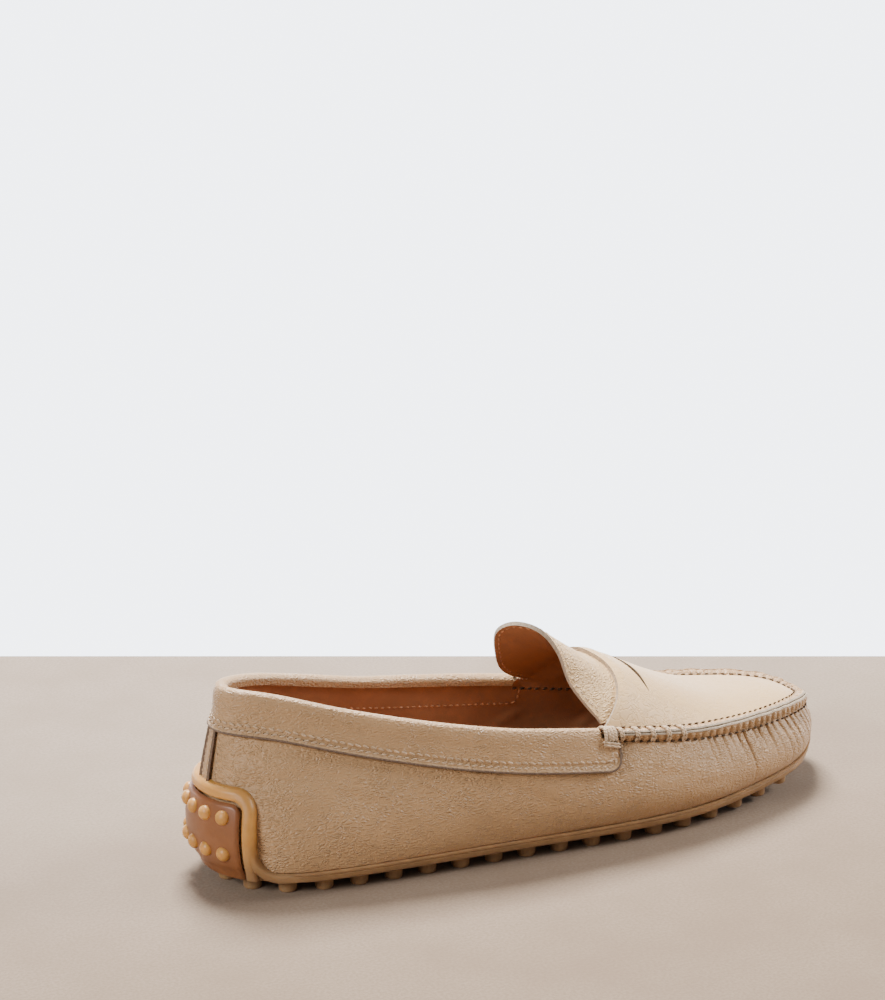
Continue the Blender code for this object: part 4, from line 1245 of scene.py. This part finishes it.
class MOCCASIN_OT_apron_seam(bpy.types.Operator):
    """The raised hand-sewn seam: two leather edges side by side, thread bars and needle holes"""

    bl_idname = "moccasin.apron_seam"
    bl_label = "Apron Seam"

    def execute(self, context):
        sizes = context.scene.moccasin_sizes
        pitch = sizes.seam_pitch
        steps = 2 * (len(SEAM_PROFILE) - 1)
        finishes = ("collar", "raw_edge", "hole")
        ridge = cloth_grid("seam_ridge", SEAM_COLUMNS, steps, place_seam, finishes, UP)
        for index, polygon in enumerate(ridge.data.polygons):
            part = (index // SEAM_COLUMNS + 0.5) / 2
            if any(low <= part <= high for low, high in RAW_EDGES):
                polygon.material_index = finishes.index("raw_edge")
            # The faces in the seam's middle, between its two cut edges, take the near-black finish: painted
            # shade in the gap.
            elif RAW_EDGES[0][1] < part < RAW_EDGES[1][0]:
                polygon.material_index = finishes.index("hole")
        finish_piece(ridge, "beige_leather", "apron_seam", degrees=50)
        first, last = along_top(THROAT), along_top(ROUND - THROAT)
        bars = self.crossing_bars(first, last, sizes.bar_count) + self.end_lashings(first)
        inside = []
        for side in (1, -1):
            rows = np.linspace(THROAT - 0.02, THROAT + 1.6, 60)
            depth, offset = CREST_RISE + 3.2 * MM, -WALL - 0.1 * MM
            points = np.array([skin(side * row, depth, offset) for row in rows])
            inside += stitch_parts(points, -outward(side * rows), pitch, *SEAM_INNER_STITCH, 0.2, 0.2)
        # The inside stitches take the near-black finish: painted shade.
        small_parts("seam_stitches_inside", inside, "hole", "tan_lining")
        small_parts("seam_threads", bars, "thread")
        small_parts("seam_needle_hole_shade", self.needle_hole_shade_marks(first, last, pitch), "hole")
        return {"FINISHED"}

    def needle_hole_shade_marks(self, first, last, pitch):
        """A dark mark of painted shade for the needle hole on both sides of the seam, for every stitch."""
        pattern, faces = STITCH
        local = pattern * np.array(SEAM_HOLE_SHADE)
        middle, crest, margin = np.array([0.5]), np.array([1.0]), 2 * MM
        hole_shade_marks = []
        for number in range(math.ceil(first / pitch), math.ceil(last / pitch)):
            if not first + margin < number * pitch < last - margin:
                continue
            row = np.array([float(row_at(number * pitch))])
            after, before = (seam_point(row + move, middle, crest) for move in (0.02, -0.02))
            _, chord, rise, _ = (value[0] for value in Seam.at(row))
            axes = np.stack([unit(after - before)[0], unit(chord), rise])
            for across, low in ((-0.10, 0.10), (1.08, 0.06)):
                spot = seam_point(row, np.array([across]), np.array([low]))[0]
                hole_shade_marks.append((spot + local @ axes, faces))
        return hole_shade_marks

    def crossing_bars(self, first, last, count):
        """Pairs of threads laid over the seam near both of its ends."""
        across = np.array([-0.08, 0.0, 0.10, 0.26, 0.5, 0.74, 0.90, 1.0, 1.06])
        height = np.array([0.0, 0.35, 0.78, 1.10, 1.16, 1.08, 0.78, 0.40, 0.0])
        lean = 0.4 * MM * np.linspace(-1, 1, len(across))
        bars = []
        for gap in (BAR_START + BAR_PITCH * np.arange(count)) * MM:
            for distance in (first + gap, last - gap):
                for shift in (-0.42 * MM, 0.42 * MM):
                    rows = row_at(distance + shift + lean)
                    bars.append(tube(seam_point(rows, across, height, 0.22 * MM), BAR_THREAD))
        return bars

    def end_lashings(self, throat):
        """The threads wound over each end of the seam, and the two that tie them down."""
        depths = np.array([0.1, 0.0, 0.3, 1.4, 3.2, 4.8, 6.0, 6.6]) * MM
        offsets = np.array([-2.6, -0.6, 1.6, 2.3, 2.5, 2.4, 1.9, 0.9]) * MM
        bars = []
        for side in (1, -1):
            for number, ahead in enumerate(LASHINGS):
                row = float(row_at(throat + ahead * MM))
                line = skin(side * row, depths, offsets + 0.2 * MM * scatter(number, 5.0))
                line[:, 0] += 0.9 * MM * (scatter(number, 7.0) - 0.5) * np.linspace(-1, 1, len(line))
                bars.append(tube(line, LASHING_THREAD))
            rows = row_at(throat + 2.4 * MM + np.linspace(-3.4, 3.0, 9) * MM)
            for depth in (5.8, 6.8):
                lean = (depth + np.linspace(-0.4, 0.5, len(rows))) * MM
                line = [skin(side * row, deep, 2.4 * MM) for row, deep in zip(rows, lean)]
                bars.append(tube(line, TIE_THREAD))
        return bars


# The heel


HEEL_ROWS = np.linspace(0.0, 4.0, 321)
HEEL_LENGTHS = lengths_along(wall(HEEL_ROWS, 0.4))


def heel_row(distance):
    """The row that lies a distance round the heel from its back, negative on the medial side."""
    return float(math.copysign(np.interp(abs(distance), HEEL_LENGTHS, HEEL_ROWS), distance))


def heel_bulge(height):
    share = np.clip((np.asarray(height, float) - PAD_FOOT) / (FRAME_TOP - PAD_FOOT), 0.0, 1.0)
    return HEEL_BULGE * np.sin(math.pi * share)


def resampled(path, count):
    lengths = lengths_along(path[:, :2])
    return at_shares(path, lengths, np.linspace(0, lengths[-1], count))


def frame_stations(count):
    """Stations of the heel frame, lateral foot first: distance round, height, width, thickness."""
    span, crown, corner = FRAME_HALF_SPAN, FRAME_TOP, FRAME_CORNER
    low, high = STUD_HEIGHT + 0.0009, crown - corner
    half = [(span, low + (high - low) * share) for share in np.linspace(0.0, 1.0, 30)]
    for angle in np.linspace(0, math.pi / 2, 13)[1:]:
        half.append((span - corner + corner * math.cos(angle), high + corner * math.sin(angle)))
    half += [(distance, crown) for distance in np.linspace(span - corner, 0, 12)[1:]]
    path = half + [(-distance, z) for distance, z in reversed(half[:-1])]
    return resampled(np.array([(*spot, FRAME_WIDTH, FRAME_THICKNESS) for spot in path]), count)


def foot_stations(side, count):
    """The frame's foot on one side, sweeping forwards until it sinks into the rim."""
    span, bend, level = FRAME_HALF_SPAN, FRAME_BEND, STUD_HEIGHT + 0.47 * BASE_THICKNESS
    path = [(span, level + bend + rise) for rise in (0.006, 0.004, 0.002)]
    for angle in np.linspace(0, math.pi / 2, 15):
        path.append((span + bend * (1 - math.cos(angle)), level + bend * (1 - math.sin(angle))))
    path += [(span + bend + ahead, level) for ahead in (0.002, 0.004, 0.006, 0.008, 0.010)]
    path = resampled(np.array(path), count)
    fade = smooth_step(np.linspace(0, 1, count), 0.25, 1.0)
    width = FRAME_WIDTH + (2.6 * MM - FRAME_WIDTH) * fade
    start = 0.96 * FRAME_THICKNESS
    thickness = start + (0.3 * MM - start) * fade
    return np.column_stack([side * path[:, 0], path[:, 1], width, thickness])


def place_frame(stations_of):
    def place(u, v):
        stations = stations_of(u.shape[1])
        heading = unit(np.gradient(stations[:, :2], axis=0))
        angles = math.pi * v[:, 0]
        sides = -0.5 * np.sign(np.cos(angles)) * np.abs(np.cos(angles)) ** 0.75
        rises = np.sin(angles) ** 0.62
        columns = []
        for (distance, height, width, thickness), (ahead, up) in zip(stations, heading):
            column = []
            for side, rise in zip(sides, rises):
                row = heel_row(distance + up * side * width)
                z = height - ahead * side * width
                proud = rise * (thickness + float(heel_bulge(z)) * thickness / FRAME_THICKNESS)
                proud *= 1 - 0.55 * math.exp(-max(z - STUD_HEIGHT, 0.0) / 0.0024)
                column.append(skin_at_height(row, z, np.array(0.00005 + proud)))
            columns.append(column)
        return np.transpose(np.array(columns), (1, 0, 2))

    return place


def place_pad(u, v):
    half = FRAME_HALF_SPAN - FRAME_WIDTH / 2 - 0.0005
    crown = FRAME_TOP - FRAME_WIDTH / 2 - 0.0006
    corner = FRAME_CORNER - FRAME_WIDTH / 2
    side = np.sign(2 * u[0] - 1) * (1 - (1 - np.abs(2 * u[0] - 1)) ** 1.3)
    columns = []
    for distance in side * half:
        from_edge = half - abs(distance)
        high = crown - rounding(corner, from_edge)
        heights = PAD_FOOT + (high - PAD_FOOT) * (1 - (1 - v[:, 0]) ** 1.25)
        tuck = 0.5 + 0.5 * smooth_step(heights, PAD_FOOT, PAD_FOOT + 6 * MM)
        near = np.minimum(from_edge, np.minimum(high - heights, heights - PAD_FOOT + 0.6 * MM))
        round_off = 0.9 * MM * (1 - np.clip(near / (1.2 * MM), 0, 1)) ** 2
        offset = GAP + PAD_THICKNESS * tuck + heel_bulge(heights) - round_off
        columns.append(skin_at_height(heel_row(distance), heights, offset))
    return np.stack(columns, axis=1)


def place_backstay(u, v):
    low = FRAME_TOP + FRAME_WIDTH / 2 - 0.0006
    high = float(skin(0.0, COLLAR_BAND_HEEL, np.array(0.0))[2]) + 0.0004
    across = 2 * u[0] - 1
    heights = low + (high - low) * v[:, 0]
    piping = 0.55 * MM * bell((np.abs(across) - 0.82) / 0.13)
    groove = 0.30 * MM * bell((np.abs(across) - 0.52) / 0.09)
    columns = []
    for part, lifted in zip(across, GAP + BACKSTAY_LEATHER + piping - groove):
        columns.append(skin_at_height(heel_row(part * BACKSTAY_WIDTH / 2), heights, lifted))
    return np.stack(columns, axis=1)


class MOCCASIN_OT_backstay(bpy.types.Operator):
    """The strip over the heel seam, with its piped edges and a row of stitches"""

    bl_idname = "moccasin.backstay"
    bl_label = "Backstay"

    def execute(self, context):
        columns, finishes = 48, ("collar", "edge")
        strip = cloth_grid("backstay_strip", columns, 60, place_backstay, finishes, -FRONT)
        for index, polygon in enumerate(strip.data.polygons):
            if abs(2 * ((index % columns) + 0.5) / columns - 1) > 0.60:
                polygon.material_index = 1
        thicken(strip, BACKSTAY_LEATHER * 0.9)
        finish_piece(strip, "beige_leather", "backstay", degrees=50)
        parts = []
        low, high = FRAME_TOP + FRAME_WIDTH / 2 + 0.5 * MM, HEEL_HEIGHT - COLLAR_BAND_HEEL
        heights = np.linspace(low, high, 40)
        on_strip, on_wall = (1.9 * MM, GAP + BACKSTAY_LEATHER - 0.2 * MM), (5.2 * MM, 0.05 * MM)
        for side in (1, -1):
            for away, lifted in (on_strip, on_wall):
                row = heel_row(side * away)
                points = skin_at_height(row, heights, np.full_like(heights, lifted))
                normals = np.broadcast_to(outward(row), points.shape)
                parts += stitch_parts(points, normals, BACKSTAY_PITCH, *BACKSTAY_STITCH, 0.1, 0.1)
        small_parts("backstay_stitches", parts, "thread")
        return {"FINISHED"}


class MOCCASIN_OT_heel_pad(bpy.types.Operator):
    """The brown rubber panel inside the heel frame, with two rows of amber domes"""

    bl_idname = "moccasin.heel_pad"
    bl_label = "Heel Pad"

    def execute(self, context):
        panel = cloth_grid("heel_panel", 96, 64, place_pad, ("brown",), -FRONT)
        thicken(panel, 0.0012)
        finish_piece(panel, "brown_rubber", "heel_pad", degrees=60)
        pattern, faces = template("uv_sphere", segments=28, ring_count=16, radius=1.0)
        local = pattern * np.array([PAD_STUD_RADIUS, PAD_STUD_RADIUS, PAD_STUD_RISE])
        parts = []
        for height in PAD_STUD_ROWS:
            for index in range(PAD_STUDS_PER_ROW):
                row = heel_row((index - (PAD_STUDS_PER_ROW - 1) / 2) * PAD_STUD_PITCH)
                offset = GAP + PAD_THICKNESS + float(heel_bulge(height)) - 0.1 * MM
                place = skin_at_height(row, height, np.array(offset))
                normal = wall_normal(row, share_at_height(row, height))
                level = unit(np.cross(UP, normal))
                axes = np.stack([level, np.cross(normal, level), normal])
                parts.append((place + local @ axes, faces))
        small_parts("heel_domes", parts, "dome", "gum_rubber", 60)
        return {"FINISHED"}


# The sole


def spine_y(row):
    return (FOOT_Y(row) + FOOT_Y(ROUND - row)) / 2


def at_heel(row):
    """1 round the back of the heel, 0 from the sides of the heel forwards."""
    row = np.minimum(np.mod(row, ROUND), ROUND - np.mod(row, ROUND))
    return 1.0 - smooth_step(row, 1.2, 2.8)


def edge_offset(row, offset):
    moved = foot(row) + outward(row) * np.asarray(offset)[..., None]
    return moved[..., 0], moved[..., 1]


def layer(rim_profile, low, high):
    """A flat layer of the shoe's outline, from its spine above round the rim to its spine below.

    rim_profile rows: share of the way out, offset beyond the edge, height share.
    """

    def place(u, v):
        rows = ROUND * u[0]
        rubber = 1.0 if low is base_low else 0.0
        rim = rubber * (RIM + (HEEL_RIM - RIM) * at_heel(rows))
        under = rubber * (BASE_UNDERCUT + (HEEL_UNDERCUT - BASE_UNDERCUT) * at_heel(rows))
        points = []
        for share, beyond, tall in zip(*along_profile(rim_profile, v[:, 0])):
            edge_x, edge_y = edge_offset(rows, beyond + rim - (1 - tall) * under)
            x = FOOT_X(rows) * (1 - share) + edge_x * share
            y = spine_y(rows) * (1 - share) + edge_y * share
            z = low(x, y) * (1 - tall) + high(x, y) * tall
            points.append(np.stack([x, y, z], axis=-1))
        return np.array(points)

    return place


def base_low(x, y):
    return sole_rise(x, y) + STUD_HEIGHT


def stud_places():
    """Centres of the sole's studs: a ring along the edge, a second ring, and a middle line."""
    rows = np.linspace(0, TOE, 401)
    middle_x, middle_y = FOOT_X(rows), spine_y(rows)
    origin_y = float(np.interp(0.0, middle_x, middle_y))
    line = []
    for step in range(-1, 16):
        x = step * STUD_PITCH
        line.append((x, float(np.interp(x, middle_x, middle_y)) - origin_y * math.exp(-abs(step))))
    rings = []
    rows = np.linspace(0, ROUND, 1601)
    for ring, inset in enumerate((STUD_INSET, STUD_INSET + STUD_PITCH)):
        x, y = edge_offset(rows, np.full(len(rows), -inset))
        ring_line = np.column_stack([x, y])
        lengths = lengths_along(ring_line)
        count = round(lengths[-1] / STUD_PITCH)
        turns = (np.arange(count) + 0.5 * ring) / count
        rings += [tuple(place) for place in at_shares(ring_line, lengths, turns * lengths[-1])]
    kept = []
    for place in rings:
        if far_enough(place, kept, 0.8 * STUD_PITCH):
            kept.append(place)
    middle = [place for place in line if far_enough(place, kept, 0.8 * STUD_PITCH) or place[0] == 0]
    return middle + [place for place in kept if far_enough(place, [(0.0, 0.0)], 0.7 * STUD_PITCH)]


def far_enough(place, others, spacing):
    return all(math.hypot(place[0] - x, place[1] - y) > spacing for x, y in others)


BASE_PROFILE = (
    (0.00, 0.0, 1.0),
    (0.60, -0.004, 1.0),
    (1.00, -0.0015, 1.0),
    (1.00, -0.0004, 1.0),
    (1.00, -0.0001, 0.97),
    (1.00, 0.0, 0.86),
    (1.00, 0.0, 0.74),
    (1.00, -0.00022, 0.70),
    (1.00, -0.00022, 0.66),
    (1.00, 0.0, 0.62),
    (1.00, 0.0, 0.40),
    (1.00, -0.0001, 0.16),
    (1.00, -0.0005, 0.03),
    (1.00, -0.0012, 0.0),
    (0.95, -0.004, 0.0),
    (0.60, -0.004, 0.0),
    (0.00, 0.0, 0.0),
)
INSOLE_PROFILE = (
    (0.00, 0.0, 1.0),
    (0.70, -0.004, 1.0),
    (1.00, -0.0034, 1.0),
    (1.00, -0.0024, 0.85),
    (1.00, -0.0022, 0.5),
    (1.00, -0.0022, 0.0),
    (0.70, -0.004, 0.0),
    (0.00, 0.0, 0.0),
)


class MOCCASIN_OT_outsole(bpy.types.Operator):
    """The gum rubber base with its studs, and the frame that runs up round the heel"""

    bl_idname = "moccasin.outsole"
    bl_label = "Outsole"

    def execute(self, context):
        outline = layer(BASE_PROFILE, base_low, rim_top)
        base = cloth_grid("sole_base", 420, 64, outline, ("base",), SIDE, wrap=True)
        finish_piece(base, "gum_rubber", "outsole", degrees=50)
        points, faces = template("cylinder", 0.13, vertices=24, radius=1.0, depth=1.0, location=(0, 0, 0.5))
        points[:, :2] *= STUD_RADIUS - STUD_TAPER * (1 - points[:, 2:])
        points[:, 2] *= STUD_HEIGHT + 0.5 * BASE_THICKNESS
        parts = [(points + np.array([x, y, float(sole_rise(x, y))]), faces) for x, y in stud_places()]
        small_parts("sole_studs", parts, "base", "gum_rubber", 50)
        rail = cloth_grid("heel_frame", 260, 28, place_frame(frame_stations), ("amber",), -FRONT)
        finish_piece(rail, "gum_rubber", degrees=60)
        for name, side in (("heel_frame_foot_lateral", 1), ("heel_frame_foot_medial", -1)):
            sweep = place_frame(partial(foot_stations, side))
            end = cloth_grid(name, 60, 24, sweep, ("amber",), -side * SIDE)
            finish_piece(end, "gum_rubber", degrees=60)
        return {"FINISHED"}


class MOCCASIN_OT_insole(bpy.types.Operator):
    """The footbed that lies on the rubber inside the upper"""

    bl_idname = "moccasin.insole"
    bl_label = "Insole"

    def execute(self, context):
        outline = layer(
            INSOLE_PROFILE,
            lambda x, y: rim_top(x, y) + GAP,
            lambda x, y: rim_top(x, y) + GAP + INSOLE_THICKNESS,
        )
        bed = cloth_grid("footbed", 260, 28, outline, ("lining",), UP, wrap=True)
        finish_piece(bed, "tan_lining", "insole")
        return {"FINISHED"}


# The stage


def studio_floor():
    """A matt cloth table top, finely speckled, with painted shade darkening it towards the front."""
    shader = Shader("studio_floor", (0.42, 0.36, 0.315), 0.8, Specular_IOR_Level=0.15)
    weave = shader.noise(900.0, 3.0, 0.6)
    cloud = shader.noise(22.0, 3.0, 0.6)
    cloth = shader.mix(shader.ramp(weave, 0.3, 0.7), (0.285, 0.218, 0.165), (0.345, 0.272, 0.213))
    toned = shader.mix(shader.ramp(cloud, 0.35, 0.7, 0.0, 0.5), cloth, (0.265, 0.198, 0.148))
    # Darker and warmer towards the front: painted shade on the floor.
    depth = shader.node("SeparateXYZ", "Y", Vector=shader.coordinates)
    far = shader.ramp(depth, -0.13, 0.14)
    near_painted_shade = shader.mix(1.0, toned, (0.80, 0.74, 0.665), "MULTIPLY")
    return shader.done(shader.mix(far, near_painted_shade, toned), 0.8, shader.bump(weave, 0.0002, 0.4))


def backdrop_paper(strength):
    shader = Shader("backdrop_paper", (0.0, 0.0, 0.0), 1.0, Specular_IOR_Level=0.0)
    shader.set(shader.main, "Emission Color", (0.87, 0.915, 1.0, 1.0))
    shader.set(shader.main, "Emission Strength", strength)
    return shader.done()


class MOCCASIN_OT_stage(bpy.types.Operator):
    """Pale floor, soft studio light and the camera at the photograph's angle"""

    bl_idname = "moccasin.stage"
    bl_label = "Stage"

    def execute(self, context):
        deselect()
        back = np.array([0.4533, 0.8914])
        along = np.array([0.8914, -0.4533])
        table_edge = np.array([0.142, 0.167])
        for name, near, far, material in (
            ("floor", (-3.0, 0.0), (0.0, 0.0), studio_floor()),
            ("backdrop", (1.4, -1.6), (1.4, 0.32), backdrop_paper(5.4)),
        ):
            bpy.ops.mesh.primitive_grid_add(x_subdivisions=8, y_subdivisions=8, size=1.0)
            sheet = context.object
            sheet.name = sheet.data.name = name
            for vertex in sheet.data.vertices:
                side, ahead = 5.0 * vertex.co.x, vertex.co.y + 0.5
                depth = near[0] + (far[0] - near[0]) * ahead
                x, y = table_edge + back * depth + along * side
                vertex.co = (x, y, near[1] + (far[1] - near[1]) * ahead)
            sheet.data.materials.append(material)
            deselect()
        world = bpy.data.worlds.new("studio")
        world.use_nodes = True
        sky = world.node_tree.nodes["Background"].inputs
        sky["Color"].default_value = (0.94, 0.95, 1.0, 1.0)
        sky["Strength"].default_value = 0.22
        context.scene.world = world
        lights = (
            # name, place, aim, size, watts
            ("overhead", (0.20, 0.52, 1.12), (0.09, 0.0, 0.02), 0.42, 57.0),
            ("window", (-1.06, -0.40, 0.70), (0.02, 0.0, 0.03), 0.40, 14.0),
            ("toe_light", (1.25, -0.28, 0.68), (0.17, 0.0, 0.03), 0.45, 19.0),
        )
        for name, place, aim, size, watts in lights:
            bpy.ops.object.light_add(type="AREA", location=place)
            light = context.object
            light.name = name
            light.data.shape = "SQUARE"
            light.data.size = size
            light.data.energy = watts
            heading = unit(np.array(place) - np.array(aim))
            across = unit(np.cross(UP, heading))
            turn = Matrix((across, np.cross(heading, across), heading)).transposed()
            light.rotation_euler = turn.to_euler()
        bpy.ops.object.camera_add()
        camera = context.object
        camera.name = "camera"
        right = np.array([0.8914, -0.4533, 0.0])
        forward = unit(np.array([0.4345, 0.8544, -0.2848]))
        right = unit(right - forward * np.dot(right, forward))
        upright = np.cross(right, forward)
        turn = Matrix((right, upright, -forward)).transposed().to_4x4()
        camera.matrix_world = Matrix.Translation((-0.3913, -0.8809, 0.4166)) @ turn
        camera.data.sensor_width = 36.0
        camera.data.lens = 108.63
        camera.data.clip_start = 0.01
        context.scene.camera = camera
        return {"FINISHED"}


# The panel


def length(name, description, default):
    return FloatProperty(name=name, description=description, default=default, unit="LENGTH")


class MoccasinSizes(bpy.types.PropertyGroup):
    stitch_pitch: length("Stitch pitch", "Distance between two stitches", 0.0027)
    seam_pitch: length("Seam pitch", "Distance between two stitches of the raised seam", 0.0032)
    pleat_pitch: length("Pleat pitch", "Distance between two gathers at the toe", 0.0037)
    pleat_depth: length("Pleat depth", "Depth of the gathers at the toe", 0.0013)
    bar_count: IntProperty(name="Thread bars", description="Bars over the seam at each end", default=5)


def colour(name, description, default):
    limits = {"size": 3, "min": 0.0, "max": 1.0, "subtype": "COLOR"}
    return FloatVectorProperty(name=name, description=description, default=default, **limits)


class MoccasinColours(bpy.types.PropertyGroup):
    leather: colour("Leather", "Wall and collar", (0.500, 0.303, 0.147))
    apron: colour("Apron", "Apron, strap and tongue", (0.665, 0.420, 0.190))
    lining: colour("Lining", "Lining and footbed", (0.372, 0.164, 0.076))
    edge: colour("Edge", "Painted leather edges", (0.170, 0.115, 0.078))
    thread: colour("Thread", "Waxed thread", (0.540, 0.370, 0.220))
    amber: colour("Amber rubber", "Heel frame and domes", (0.600, 0.290, 0.070))
    brown: colour("Brown rubber", "Heel panel", (0.250, 0.095, 0.034))
    base: colour("Sole rubber", "Base and studs", (0.350, 0.200, 0.092))


PIECES = (
    MOCCASIN_OT_outsole,
    MOCCASIN_OT_insole,
    MOCCASIN_OT_upper,
    MOCCASIN_OT_tongue,
    MOCCASIN_OT_collar,
    MOCCASIN_OT_apron_seam,
    MOCCASIN_OT_backstay,
    MOCCASIN_OT_heel_pad,
    MOCCASIN_OT_stage,
)


class MOCCASIN_PT_panel(bpy.types.Panel):
    """Sizes, colours and the pieces of the shoe"""

    bl_label = "Moccasin"
    bl_idname = "MOCCASIN_PT_panel"
    bl_space_type = "VIEW_3D"
    bl_region_type = "UI"
    bl_category = "Moccasin"

    def draw(self, context):
        layout = self.layout
        for group in (context.scene.moccasin_sizes, context.scene.moccasin_colours):
            for key in group.bl_rna.properties.keys():
                if key not in ("rna_type", "name"):
                    layout.prop(group, key)
        for piece in PIECES:
            layout.operator(piece.bl_idname)


CLASSES = (MoccasinSizes, MoccasinColours, *PIECES, MOCCASIN_PT_panel)


def register():
    for one in CLASSES:
        bpy.utils.register_class(one)
    bpy.types.Scene.moccasin_sizes = PointerProperty(type=MoccasinSizes)
    bpy.types.Scene.moccasin_colours = PointerProperty(type=MoccasinColours)


def unregister():
    del bpy.types.Scene.moccasin_colours
    del bpy.types.Scene.moccasin_sizes
    for one in reversed(CLASSES):
        bpy.utils.unregister_class(one)


def main():
    register()
    bpy.ops.moccasin.outsole()
    bpy.ops.moccasin.insole()
    bpy.ops.moccasin.upper()
    bpy.ops.moccasin.tongue()
    bpy.ops.moccasin.collar()
    bpy.ops.moccasin.apron_seam()
    bpy.ops.moccasin.backstay()
    bpy.ops.moccasin.heel_pad()
    bpy.ops.moccasin.stage()


if __name__ == "__main__":
    main()
